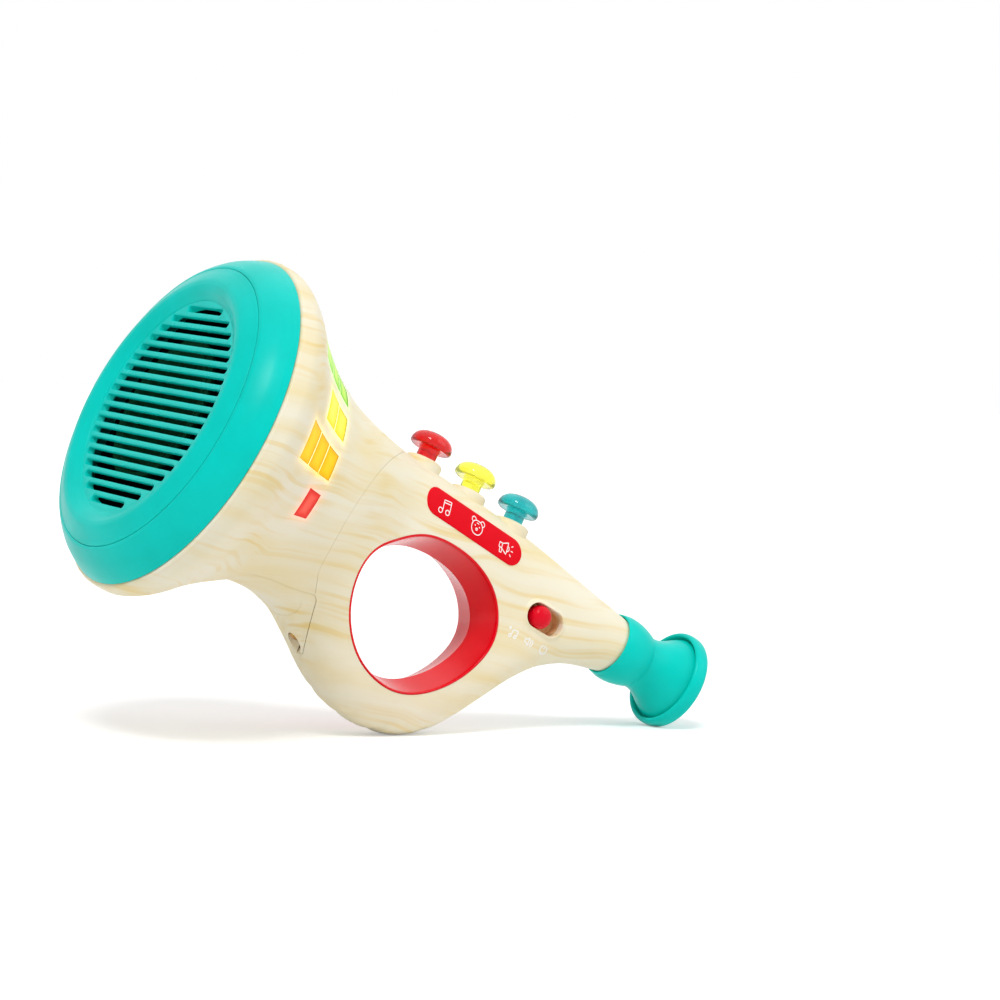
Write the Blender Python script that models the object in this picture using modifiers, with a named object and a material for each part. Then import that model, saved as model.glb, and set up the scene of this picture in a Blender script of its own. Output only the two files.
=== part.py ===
"""Toy trumpet with light strips, three valve buttons, a slide switch and a battery door.

Sizes are in millimetres in the trumpet's own axes: +X runs along the bell's axis to the mouthpiece, -Y is
the side with the switch and +Z runs up through the buttons. X counts from the back edge of the bell ring.
The whole trumpet hangs on one empty that sets it down on its grip and its mouthpiece.
"""

import math

import bmesh
import bpy
from mathutils import Matrix, Vector

MM = 0.001

# Fits and walls
GAP = 0.3
WALL = 2.4
SEAM_GAP = 0.3
SEGMENTS = 28
INNER_SEGMENTS = 28
STATION = 7.0
INNER_STATION = 7.0

# Outer form: the bell's radius, then the top line, bottom line and half width behind it, as (x, size)
BELL_EDGE = 66.6
BELL_RADII = (
    (0, BELL_EDGE), (6, BELL_EDGE + 0.2), (12, BELL_EDGE - 2.4), (22, 56.0), (34, 47.8), (46, 41.6),
)
TOP_LINE = ((62, 36.2), (86, 32.5), (120, 31.2), (150, 29.1), (180, 25.6), (209, 21.9))
BOTTOM_LINE = (
    (56, -40.8), (68, -42.8), (80, -49.6), (92, -58.2), (104, -63.4), (118, -65.5), (130, -64.2),
    (140, -59.8), (150, -51.0), (160, -37.2), (170, -23.0), (180, -12.8), (194, -5.0), (209, -1.0),
)
HALF_WIDTHS = (
    (62, 35.4), (78, 27.6), (94, 21.0), (112, 18.6), (134, 15.7), (156, 13.0), (180, 12.2), (209, 11.5),
)
SQUARENESS = ((0, 2.0), (50, 2.0), (100, 2.7), (150, 2.8), (185, 2.2), (209, 2.0))
BODY_END = 209.0
END_WALL = 2.6

# Seam between the bell and the two handle halves: in the side view an arc, then a line to the door's foot
SEAM_CENTRE = (104.75, -10.0)
SEAM_RADIUS = 46.4
SEAM_HEAD_X = 89.0
SEAM_TURN_Z = -33.0
SEAM_FOOT = (86.0, -50.5)

# Handle hole on the middle plane, its draft per millimetre of width, and the walls round it
HOLE_POINTS = (
    (84.5, -16.8), (92.6, -6.4), (106.1, 2.6), (126.1, 3.7), (141.1, -2.9),
    (147.5, -16.1), (139.2, -33.4), (122, -45.5), (103, -43.3), (88.8, -30.8),
)
HOLE_DRAFT = 0.244
LINER_WALL = 1.5
TUNNEL_WALL = 2.0

# Bell ring and grille, each radius within the one before it
RING_RADIUS = BELL_EDGE - 1.2
RING_DEPTH = 11.4
GROOVE_RADIUS = RING_RADIUS - 9.3
CROWN_RADIUS = GROOVE_RADIUS - 7.5
CROWN_RISE = 3.3
GRILLE_RADIUS = CROWN_RADIUS - 5.9
GRILLE_RECESS = 3.0
GRILLE_PLATE = 2.4
SLOT_PITCH = 4.3
SLOT_WIDTH = 2.5
SLOT_RIM = 1.0
SLOT_TURN = 2.7
SLOT_COUNT = 2 * int((GRILLE_RADIUS - SLOT_RIM - SLOT_WIDTH / 2) / SLOT_PITCH) + 1

# Speaker
SPEAKER_RADIUS = 28.5
SPEAKER_DEPTH = 13.0
MAGNET_RADIUS = 15.0
MAGNET_LENGTH = 9.0

# Light strips: bars in rows along the flare, in columns round the bell
LIGHT_PITCH = 21.0
LIGHT_WIDTH = 14.2
ROW_BACK = 40.2
ROW_LENGTH = 6.4
ROW_SPACE = 1.2
STRIP_BACKING = 1.2
LIGHTS = (
    ("red", 5, 1, (0.85, 0.05, 0.05)), ("orange", 4, 3, (0.95, 0.35, 0.03)),
    ("yellow", 3, 2, (0.95, 0.75, 0.05)), ("green", 2, 3, (0.20, 0.75, 0.12)),
    ("blue", 1, 2, (0.05, 0.35, 0.85)), ("violet", 0, 3, (0.45, 0.12, 0.75)),
)
LIGHT_BOARD_X = 43.0
LIGHT_BOARD_WIDTH = 10.0
LIGHT_BOARD_REACH = 116.0

# Valve buttons
BUTTON_X = (98.0, 121.3, 144.6)
BUTTON_NAMES = ("red", "yellow", "teal")
BUTTON_COLOURS = ((0.75, 0.03, 0.05), (0.95, 0.70, 0.05), (0.05, 0.55, 0.60))
BUTTON_TRAVEL = 3.8
CAP_RADIUS = 8.25
CAP_HEIGHT = 6.45
CAP_FORM = (
    (0, 1), (0.24, 0.985), (0.51, 0.92), (0.74, 0.79), (0.9, 0.6), (0.99, 0.37), (1, 0.19), (0.97, 0.06),
)
CAP_LIFT = 4.5
STEM_RADIUS = 3.9
FLANGE_RADIUS = 5.4
FLANGE_HEIGHT = 1.4
FOOT_RADIUS = 2.3
BOSS_RADIUS = 7.4
BOSS_EASE = 1.1
BOSS_RISES = (2.7, 2.05, 1.95)
BOSS_DEPTH = 8.0
SPRING_WIRE = 0.7
SPRING_RADIUS = 4.4
CONTACT_RADIUS = 2.2
CONTACT_HEIGHT = 1.6

# Main board
BOARD_START = 90.0
BOARD_LENGTH = 63.0
BOARD_HALF_WIDTH = 8.5
BOARD_THICKNESS = 1.6

# Icon plate
PLATE_CENTRE = (122.0, 19.6)
PLATE_LENGTH = 51.9
PLATE_WIDTH = 10.5
PLATE_SLOPE = -1.0
PLATE_PROUD = 0.35
PLATE_SUNK = 0.9
PLATE_REACH = 14.2

# Slide switch
SWITCH_X = 168.5
SWITCH_Z = 3.0
SWITCH_TRAVEL = 8.0
SWITCH_REST = -2.0
KNOB_RADIUS = 3.9
KNOB_PROUD = 2.6
KNOB_DEPTH = 5.4
KNOB_CLEAR = 0.4
LIP_WIDTH = 1.6
LIP_PROUD = 0.7
SWITCH_FLOOR = 6.0
SWITCH_WALL = 1.2

# Battery bay
DOOR_START = 38.0
DOOR_HALF_WIDTH = 18.0
DOOR_WALL = 2.0
DOOR_SCREW_X = 80.6
DOOR_BOSS_RADIUS = 5.0
DOOR_BOSS_DEPTH = 5.0
RECESS_RADIUS = 3.8
RECESS_DEPTH = 3.4
CELL_RADIUS = 5.2
CELL_LENGTH = 44.2
CELL_START = 30.0
CELL_PITCH = 11.1
CELL_Z = -28.3
BOX_WALL = 1.8
CONTACT_PLATE = 0.6
POST_RADIUS = 3.4
POST_LENGTH = 4.4
RIB_HALF_WIDTH = 2.5
RIB_DEPTH = 12.0

# Screws through the right half into posts on the left half, as (x, z)
SCREW_SITES = ((84.5, 21.5), (113.0, -59.0), (152.5, -32.0), (184.0, 8.5))
SCREW_SHANK = 1.25
SCREW_LENGTH = 9.0
HEAD_RADIUS = 2.7
HEAD_HEIGHT = 2.0
SEAT_Y = 3.0

# Mouthpiece
MOUTH_Z = 10.45
COLLAR_LENGTH = 17.0
COLLAR_LIP = 12.8
COLLAR_BULGE = 13.4
COLLAR_END = 11.0
SPIGOT_RADIUS = 7.6
SPIGOT_LENGTH = 7.0
COLLAR_BORE = 5.2
CUP_LENGTH = 18.5
CUP_NECK = 10.9
RIM_RADIUS = 19.7
RIM_INNER = 16.0
RIM_DEPTH = 6.6
THROAT_RADIUS = 4.5
MIC_RADIUS = 4.85
MIC_LENGTH = 6.0

WOOD = (0.86, 0.72, 0.48)
TEAL = (0.03, 0.50, 0.52)
RED = (0.78, 0.03, 0.04)
DARK = (0.03, 0.03, 0.035)
BOARD_GREEN = (0.03, 0.20, 0.08)
STEEL = (0.62, 0.62, 0.64)

for old in list(bpy.data.objects):
    bpy.data.objects.remove(old)


def new_collection(name):
    made = bpy.data.collections.new(name)
    bpy.context.scene.collection.children.link(made)
    return made


parts = new_collection("toy_trumpet")
cutters = new_collection("toy_trumpet_cutters")
stand = bpy.data.objects.new("stand", None)
parts.objects.link(stand)


def blend(points, x):
    """A smooth curve through (x, value) points that doesn't overshoot them."""
    xs = [p[0] for p in points]
    ys = [p[1] for p in points]
    if x <= xs[0]:
        return ys[0]
    if x >= xs[-1]:
        return ys[-1]
    k = max(i for i in range(len(xs) - 1) if xs[i] <= x)
    slopes = [(ys[i + 1] - ys[i]) / (xs[i + 1] - xs[i]) for i in range(len(xs) - 1)]

    def tangent(i):
        if i == 0 or i == len(xs) - 1 or slopes[i - 1] * slopes[i] <= 0:
            return 0.0 if 0 < i < len(xs) - 1 else slopes[min(i, len(slopes) - 1)]
        return 2 * slopes[i - 1] * slopes[i] / (slopes[i - 1] + slopes[i])

    h = xs[k + 1] - xs[k]
    t = (x - xs[k]) / h
    rise = t * t * (3 - 2 * t)
    bend = tangent(k) * t * (1 - t) ** 2 - tangent(k + 1) * t * t * (1 - t)
    return ys[k] + (ys[k + 1] - ys[k]) * rise + h * bend


def body_top(x):
    return blend(BELL_RADII + TOP_LINE, x)


def body_bottom(x):
    return blend(tuple((a, -r) for a, r in BELL_RADII) + BOTTOM_LINE, x)


def body_half(x):
    return blend(BELL_RADII + HALF_WIDTHS, x)


def body_section(x, inset, count):
    """The body's outline across X, drawn in by an inset: a circle on the bell, a rounded box behind."""
    middle = (body_top(x) + body_bottom(x)) / 2
    height = (body_top(x) - body_bottom(x)) / 2 - inset
    half = body_half(x) - inset
    power = 2 / blend(SQUARENESS, x)
    ring = []
    for i in range(count):
        angle = 2 * math.pi * (i + 0.5) / count
        y = math.copysign(abs(math.cos(angle)) ** power, math.cos(angle))
        z = math.copysign(abs(math.sin(angle)) ** power, math.sin(angle))
        ring.append((x, half * y, middle + height * z))
    return ring


def side_at(x, z, inset=0.0):
    """Half width of the body at a height."""
    middle = (body_top(x) + body_bottom(x)) / 2
    height = (body_top(x) - body_bottom(x)) / 2 - inset
    power = blend(SQUARENESS, x)
    share = min(abs(z - middle) / height, 1.0)
    return (body_half(x) - inset) * (1 - share ** power) ** (1 / power)


def material(name, colour, roughness, metallic=0.0):
    made = bpy.data.materials.new(name)
    made.use_nodes = True
    shader = made.node_tree.nodes["Principled BSDF"]
    shader.inputs["Base Color"].default_value = (*colour, 1.0)
    shader.inputs["Roughness"].default_value = roughness
    shader.inputs["Metallic"].default_value = metallic
    return made


def place(name, mesh, look=None):
    """Adds a mesh as a part, or as a cutter where it has no look."""
    made = bpy.data.objects.new(name, mesh)
    made.parent = stand
    if look is None:
        cutters.objects.link(made)
        made.hide_render = True
        made.display_type = "WIRE"
        return made
    parts.objects.link(made)
    mesh.materials.append(material(name, *look))
    return made


def finish(bm, name):
    bmesh.ops.recalc_face_normals(bm, faces=bm.faces)
    mesh = bpy.data.meshes.new(name)
    bm.to_mesh(mesh)
    bm.free()
    mesh.shade_smooth()
    mesh.set_sharp_from_angle(angle=math.radians(35))
    return mesh


def loft(name, sections, look=None):
    """A closed solid through rings of points, with flat ends."""
    bm = bmesh.new()
    rings = [[bm.verts.new(Vector(p) * MM) for p in ring] for ring in sections]
    for near, far in zip(rings, rings[1:]):
        for i in range(len(near)):
            j = (i + 1) % len(near)
            bm.faces.new((near[i], near[j], far[j], far[i]))
    bm.faces.new(rings[0])
    bm.faces.new(rings[-1])
    return place(name, finish(bm, name), look)


def body(name, inset, start, end, step, count, look=None):
    """The body's form between two stations, on a grid of stations that every inset of it shares."""
    grid = [k * step / 2 for k in range(-10, 100) if k % 2 == 0 or 0 < k * step < 50]
    xs = [start] + [x for x in grid if start + 0.5 < x < end - 0.5] + [end]
    return loft(name, [body_section(x, inset, count) for x in xs], look)


def prism(name, outline, low, high, look=None):
    """An outline in the side view, as (x, z), drawn across from one y to another."""
    return loft(name, [[(x, y, z) for x, z in outline] for y in (low, high)], look)


def block(name, low, high, look=None):
    size = Vector(high) - Vector(low)
    bm = bmesh.new()
    bmesh.ops.create_cube(bm, size=1.0)
    centre = (Vector(high) + Vector(low)) / 2
    bmesh.ops.transform(bm, matrix=Matrix.LocRotScale(centre * MM, None, size * MM), verts=bm.verts)
    return place(name, finish(bm, name), look)


def rods(name, sites, look=None, sides=24):
    """Plain cylinders in one mesh, each as (radius, from point, to point)."""
    bm = bmesh.new()
    for radius, start, end in sites:
        run = Vector(end) - Vector(start)
        turn = run.to_track_quat("Z", "Y").to_matrix().to_4x4()
        there = Matrix.Translation((Vector(start) + run / 2) * MM) @ turn
        bmesh.ops.create_cone(
            bm, cap_ends=True, segments=sides, radius1=radius * MM, radius2=radius * MM,
            depth=run.length * MM, matrix=there,
        )
    return place(name, finish(bm, name), look)


def turned(name, profile, look, centre=(0, 0, 0), along="X", steps=36, closed=True):
    """A turned piece: (radius, height) points down the outer side, on an axis through a point."""
    bm = bmesh.new()
    points = [bm.verts.new((r * MM, 0, h * MM)) for r, h in profile]
    for a, b in zip(points, points[1:]):
        bm.edges.new((a, b))
    if closed:
        bm.edges.new((points[-1], points[0]))
    mesh = bpy.data.meshes.new(name)
    bm.to_mesh(mesh)
    bm.free()
    made = place(name, mesh, look)
    made.location = Vector(centre) * MM
    if along == "X":
        made.rotation_euler = (0, math.pi / 2, 0)
    screw = made.modifiers.new("turn", "SCREW")
    screw.axis = "Z"
    screw.steps = steps
    screw.render_steps = steps
    screw.use_merge_vertices = True
    screw.merge_threshold = 0.00001
    return made


def sweep(name, outline, start, end, steps, look=None):
    """An (x, radius) outline carried round the bell's axis, in degrees from the top towards -Y."""
    sections = []
    for i in range(steps + 1):
        angle = math.radians(start + (end - start) * i / steps)
        sections.append([(x, -r * math.sin(angle), r * math.cos(angle)) for x, r in outline])
    return loft(name, sections, look)


def boolean(target, cutter, operation="DIFFERENCE"):
    modifier = target.modifiers.new(cutter.name, "BOOLEAN")
    modifier.object = cutter
    modifier.operation = operation
    modifier.solver = "EXACT"


def join(name, pieces):
    """Several cutters as one mesh of separate bodies."""
    bm = bmesh.new()
    for piece in pieces:
        bm.from_mesh(piece.data)
        bpy.data.objects.remove(piece)
    return place(name, finish(bm, name))


def stadium(centre, length, width, slope=0.0, steps=8):
    """An outline with round ends, as points round its edge."""
    radius = width / 2
    reach = length / 2 - radius
    turn = math.radians(slope)
    points = []
    for side in (1, -1):
        for i in range(steps + 1):
            angle = side * math.pi / 2 - math.pi * i / steps
            x = side * reach + radius * math.cos(angle)
            z = radius * math.sin(angle)
            points.append((
                centre[0] + x * math.cos(turn) - z * math.sin(turn),
                centre[1] + x * math.sin(turn) + z * math.cos(turn),
            ))
    return points


def hole_outline(offset, samples=3):
    """The handle hole's edge as a smooth loop through its points, moved outwards by an offset."""
    count = len(HOLE_POINTS)
    loop = []
    for k in range(count):
        a, b, c, d = (Vector(HOLE_POINTS[(k + j) % count]) for j in (-1, 0, 1, 2))
        for i in range(samples):
            t = i / samples
            loop.append(b + (c - a) * t / 2 + (2 * a - 5 * b + 4 * c - d) * t * t / 2
                        + (3 * b - a - 3 * c + d) * t ** 3 / 2)
    moved = []
    for i, point in enumerate(loop):
        run = (loop[(i + 1) % len(loop)] - loop[i - 1]).normalized()
        moved.append(point + Vector((-run.y, run.x)) * offset)
    return moved


def hole_tube(name, offset, low, high, look=None):
    """The handle hole as a solid that is narrowest on the middle plane."""
    stops = [low, high] if low * high >= 0 else [low, 0.0, high]
    rings = []
    for y in stops:
        rings.append([(x, y, z) for x, z in hole_outline(offset + HOLE_DRAFT * abs(y))])
    return loft(name, rings, look)


# Cutters that several pieces share
WIDE = 80.0
outer = body("outer_form", 0.0, GAP, BODY_END, STATION, SEGMENTS)
hole_inner = hole_tube("hole_inner", 0.0, -WIDE / 2, WIDE / 2)
hole_outer = hole_tube("hole_outer", LINER_WALL + GAP, -WIDE / 2, WIDE / 2)
tunnel = hole_tube("tunnel", LINER_WALL + GAP + TUNNEL_WALL, -WIDE / 2, WIDE / 2)
hollow = body("hollow", WALL, -12.0, BODY_END - END_WALL, INNER_STATION, INNER_SEGMENTS)
boolean(hollow, tunnel)
posts = rods("posts", [(POST_RADIUS, (x, -WIDE, z), (x, WIDE, z)) for x, z in SCREW_SITES], sides=10)
boolean(hollow, posts)


def seam_outline(gap):
    """The handle's side of the seam, grown by a gap."""
    first = math.pi + math.asin((SEAM_CENTRE[1] - SEAM_TURN_Z) / SEAM_RADIUS)
    last = math.pi / 2 + math.asin((SEAM_CENTRE[0] - SEAM_HEAD_X) / SEAM_RADIUS)
    arc = []
    for i in range(21):
        angle = first + (last - first) * i / 20
        reach = SEAM_RADIUS + gap
        arc.append((SEAM_CENTRE[0] + reach * math.cos(angle), SEAM_CENTRE[1] + reach * math.sin(angle)))
    foot = [(SEAM_FOOT[0] - gap, -WIDE), (SEAM_FOOT[0] - gap, SEAM_FOOT[1] - gap)]
    return foot + arc + [(arc[-1][0], WIDE), (BODY_END + WIDE, WIDE), (BODY_END + WIDE, -WIDE)]


handle_side = prism("handle_side", seam_outline(SEAM_GAP), -WIDE, WIDE)


def bell_radius(x):
    return blend(BELL_RADII, x)


def row_span(row):
    end = ROW_BACK - row * (ROW_LENGTH + ROW_SPACE)
    return end - ROW_LENGTH, end


def light_outline(bars):
    """Side view of one strip: bars that fill the windows, on a backing inside the wall."""
    sunk = WALL + 2 * GAP
    points = []
    for row in range(round(bars)):
        start, end = row_span(row)
        points += [(end, bell_radius(end) - sunk), (end, bell_radius(end))]
        points += [(start, bell_radius(start)), (start, bell_radius(start) - sunk)]
    first = points[0][0] + 1.0
    last = points[-1][0] - 1.0
    points = [(first, bell_radius(first) - sunk)] + points + [(last, bell_radius(last) - sunk)]
    back = [(x, bell_radius(x) - sunk - STRIP_BACKING) for x in (last, first)]
    return points + back


window_cutters = []
for colour, column, bars, shade in LIGHTS:
    for side, label in ((1, "left"), (-1, "right")) if column else ((1, "top"),):
        centre = side * column * LIGHT_PITCH
        sweep("light_strip_%s_%s" % (colour, label), light_outline(bars), centre - LIGHT_WIDTH / 2,
              centre + LIGHT_WIDTH / 2, 3, (shade, 0.25))
        for row in range(round(bars)):
            start, end = row_span(row)
            start -= GAP
            end += GAP
            outline = [
                (end, bell_radius(end) - 2 * WALL), (end, bell_radius(end) + WALL),
                (start, bell_radius(start) + WALL), (start, bell_radius(start) - 2 * WALL),
            ]
            spread = LIGHT_WIDTH / 2 + math.degrees(GAP / bell_radius(end))
            window_cutters.append(sweep("window", outline, centre - spread, centre + spread, 3))
windows = join("windows", window_cutters)

# Door screw: a point on the bottom line and the way in, straight up so that the door can swing off it
inward = Vector((0, 0, 1))
screw_point = Vector((DOOR_SCREW_X, 0, body_bottom(DOOR_SCREW_X)))


def on_screw(depth):
    return screw_point + inward * depth


# Bell and neck
bell_shell = body("bell_shell", 0.0, GAP, 108.0, STATION, SEGMENTS, (WOOD, 0.45))
bell_hollow = body("bell_hollow", WALL, -12.0, 108.0, INNER_STATION, INNER_SEGMENTS)
boolean(bell_shell, bell_hollow)
boolean(bell_shell, handle_side)
boolean(bell_shell, block(
    "door_opening", (DOOR_START - GAP, -DOOR_HALF_WIDTH - GAP, -WIDE),
    (WIDE * 2, DOOR_HALF_WIDTH + GAP, -15),
))
boolean(bell_shell, windows)

# Handle halves
plate_outline = stadium(PLATE_CENTRE, PLATE_LENGTH, PLATE_WIDTH, PLATE_SLOPE)
plate_start = PLATE_CENTRE[0] - PLATE_LENGTH / 2 - PLATE_REACH
plate_end = PLATE_CENTRE[0] + PLATE_LENGTH / 2 + PLATE_REACH
plate_room = prism(
    "plate_room", stadium(PLATE_CENTRE, PLATE_LENGTH + 2 * GAP, PLATE_WIDTH + 2 * GAP, PLATE_SLOPE),
    -WIDE / 2, -5.0,
)
boolean(plate_room, body("plate_floor", PLATE_SUNK + GAP, plate_start, plate_end, STATION, SEGMENTS))

boss_holes = rods("boss_holes", [
    (BOSS_RADIUS + GAP, (x, 0, body_top(x) - 12), (x, 0, body_top(x) + 12)) for x in BUTTON_X
], sides=24)
end_hole = rods("end_hole", [(SPIGOT_RADIUS + GAP, (BODY_END - 8, 0, MOUTH_Z), (BODY_END + 8, 0, MOUTH_Z))])

switch_side = side_at(SWITCH_X, SWITCH_Z)
switch_turn = math.atan((body_half(SWITCH_X - 8) - body_half(SWITCH_X + 8)) / 16)
slot_length = SWITCH_TRAVEL + 2 * (KNOB_RADIUS + KNOB_CLEAR)
slot_width = 2 * (KNOB_RADIUS + KNOB_CLEAR)
switch_point = Vector((SWITCH_X, -switch_side, SWITCH_Z)) * MM
switch_place = Matrix.Translation(switch_point) @ Matrix.Rotation(switch_turn, 4, "Z")


def at_switch(piece):
    piece.matrix_local = switch_place
    return piece


switch_lip = at_switch(prism(
    "switch_lip", stadium((0, 0), slot_length + 2 * LIP_WIDTH, slot_width + 2 * LIP_WIDTH),
    -LIP_PROUD, WALL / 2,
))
switch_slot = at_switch(prism("switch_slot", stadium((0, 0), slot_length, slot_width), -WALL * 2, WALL * 2))

seats = rods("screw_seats", [(HEAD_RADIUS + GAP, (x, SEAT_Y, z), (x, WIDE, z)) for x, z in SCREW_SITES],
             sides=16)
pilots = rods("screw_pilots", [
    (SCREW_SHANK + GAP, (x, -SCREW_LENGTH - 1, z), (x, SEAT_Y + 1, z)) for x, z in SCREW_SITES
], sides=10)
for name, low, high in (("left_shell", -WIDE, -GAP / 2), ("right_shell", GAP / 2, WIDE)):
    shell = body(name, 0.0, 48.0, BODY_END, STATION, SEGMENTS, (WOOD, 0.45))
    boolean(shell, prism(name + "_side", seam_outline(0.0), low, high), "INTERSECT")
    if name == "left_shell":
        boolean(shell, switch_lip, "UNION")
    boolean(shell, hole_outer)
    boolean(shell, hollow)
    boolean(shell, boss_holes)
    boolean(shell, end_hole)
    boolean(shell, pilots)
    if name == "left_shell":
        boolean(shell, plate_room)
        boolean(shell, switch_slot)
    else:
        boolean(shell, seats)

# Handle liner
for side, low, high in (("left", -WIDE / 2, -GAP / 2), ("right", GAP / 2, WIDE / 2)):
    liner = hole_tube("handle_liner_" + side, LINER_WALL, low, high, (RED, 0.15))
    boolean(liner, hole_inner)
    boolean(liner, outer, "INTERSECT")

# Icon plate
icon_plate = prism("icon_plate", plate_outline, -WIDE / 2, -5.0, (RED, 0.35))
plate_face = body("plate_face", -PLATE_PROUD, plate_start, plate_end, STATION, SEGMENTS)
boolean(icon_plate, plate_face, "INTERSECT")
boolean(icon_plate, body("plate_back", PLATE_SUNK, plate_start, plate_end, STATION, SEGMENTS))

# Screws of the handle halves
for number, (x, z) in enumerate(SCREW_SITES, 1):
    head = SEAT_Y + GAP
    turned("shell_screw_%d" % number, [
        (0, HEAD_HEIGHT), (HEAD_RADIUS * 0.7, HEAD_HEIGHT), (HEAD_RADIUS, HEAD_HEIGHT * 0.6),
        (HEAD_RADIUS, 0), (SCREW_SHANK, 0), (SCREW_SHANK, 1 - head - SCREW_LENGTH),
        (0, -head - SCREW_LENGTH),
    ], (STEEL, 0.35, 1.0), (x, head, z), "Y", 12, False).rotation_euler = (-math.pi / 2, 0, 0)

# Bell ring, grille and speaker
shelf = 4.3 - RING_DEPTH
turned("bell_ring", [
    (RING_RADIUS - 1.6, 5.5), (RING_RADIUS - 1.6, 0), (RING_RADIUS, 0), (RING_RADIUS - 1.4, -3),
    (RING_RADIUS - 3.2, -6), (RING_RADIUS - 5.3, -8.5), (GROOVE_RADIUS + 1.5, 0.5 - RING_DEPTH),
    (GROOVE_RADIUS + 0.4, 0.1 - RING_DEPTH), (GROOVE_RADIUS, 0.5 - RING_DEPTH), (GROOVE_RADIUS, shelf),
    (GROOVE_RADIUS + 2.1, shelf), (RING_RADIUS - 4.9, -3), (RING_RADIUS - 3, 0), (RING_RADIUS - 3, 5.5),
], (TEAL, 0.3))
crown = -RING_DEPTH - CROWN_RISE
floor = crown + GRILLE_RECESS
back = floor + GRILLE_PLATE
lip = GROOVE_RADIUS - GAP
seat = shelf + GAP
grille = turned("speaker_grille", [
    (0, back), (GRILLE_RADIUS, back), (lip - 2.4, back + 2.2), (lip - 2.2, seat + 1.5),
    (lip + 2, seat + 1.5), (lip + 2, seat), (lip, seat), (lip, 0.3 - RING_DEPTH),
    (lip - 0.5, -0.3 - RING_DEPTH), (CROWN_RADIUS + 4.2, crown + 1.5), (CROWN_RADIUS + 2.2, crown + 0.5),
    (CROWN_RADIUS + 1, crown), (CROWN_RADIUS - 1, crown), (GRILLE_RADIUS + 3, crown + 0.9),
    (GRILLE_RADIUS + 1, crown + 2.1), (GRILLE_RADIUS, floor - 0.3), (GRILLE_RADIUS, floor), (0, floor),
], (TEAL, 0.3), closed=False)
flatten = grille.modifiers.new("flatten", "DECIMATE")
flatten.decimate_type = "DISSOLVE"
flatten.angle_limit = math.radians(0.1)
slots = []
for k in range(SLOT_COUNT):
    z = (k - (SLOT_COUNT - 1) / 2) * SLOT_PITCH
    reach = math.sqrt((GRILLE_RADIUS - SLOT_RIM) ** 2 - (abs(z) + SLOT_WIDTH / 2) ** 2)
    low = z - SLOT_WIDTH / 2
    slots.append(block("slot", (floor - 2, -reach, low), (back + 2, reach, low + SLOT_WIDTH)))
grille_slots = join("grille_slots", slots)
grille_slots.rotation_euler = (math.radians(SLOT_TURN), 0, 0)
boolean(grille, grille_slots)

flange = back + GAP
basket = flange + SPEAKER_DEPTH
turned("speaker_frame", [
    (MAGNET_RADIUS - 2, basket), (MAGNET_RADIUS, basket), (SPEAKER_RADIUS - 4, flange + 3),
    (SPEAKER_RADIUS, flange + 1.5), (SPEAKER_RADIUS, flange), (SPEAKER_RADIUS - 3, flange),
    (SPEAKER_RADIUS - 5, flange + 2.6), (MAGNET_RADIUS - 2, basket - 1.5),
], (DARK, 0.5), steps=24)
turned("speaker_magnet", [
    (0, basket + GAP + MAGNET_LENGTH), (MAGNET_RADIUS, basket + GAP + MAGNET_LENGTH),
    (MAGNET_RADIUS, basket + GAP), (0, basket + GAP),
], (STEEL, 0.4, 1.0), steps=24, closed=False)
turned("speaker_cone", [
    (0, basket - 3), (MAGNET_RADIUS - 4, basket - 2.4), (SPEAKER_RADIUS - 5.6, flange + 1.6),
    (SPEAKER_RADIUS - 3.4, flange), (SPEAKER_RADIUS - 5, flange), (MAGNET_RADIUS - 5, basket - 4.4),
    (0, basket - 5),
], (DARK, 0.8), steps=24, closed=False)

# Light board, a curved strip of board behind the light strips
board_edge = bell_radius(LIGHT_BOARD_X + BOARD_THICKNESS) - WALL - GAP
sweep("light_board", [
    (LIGHT_BOARD_X, board_edge - LIGHT_BOARD_WIDTH), (LIGHT_BOARD_X, board_edge),
    (LIGHT_BOARD_X + BOARD_THICKNESS, board_edge),
    (LIGHT_BOARD_X + BOARD_THICKNESS, board_edge - LIGHT_BOARD_WIDTH),
], -LIGHT_BOARD_REACH, LIGHT_BOARD_REACH, 24, (BOARD_GREEN, 0.5))

# Main board, on top of the tunnel round the handle hole
tunnel_offset = LINER_WALL + GAP + TUNNEL_WALL + HOLE_DRAFT * BOARD_HALF_WIDTH
board_low = max(point.y for point in hole_outline(tunnel_offset)) + GAP
board_top = board_low + BOARD_THICKNESS
block("main_board", (BOARD_START, -BOARD_HALF_WIDTH, board_low),
      (BOARD_START + BOARD_LENGTH, BOARD_HALF_WIDTH, board_top), (BOARD_GREEN, 0.5))

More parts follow.
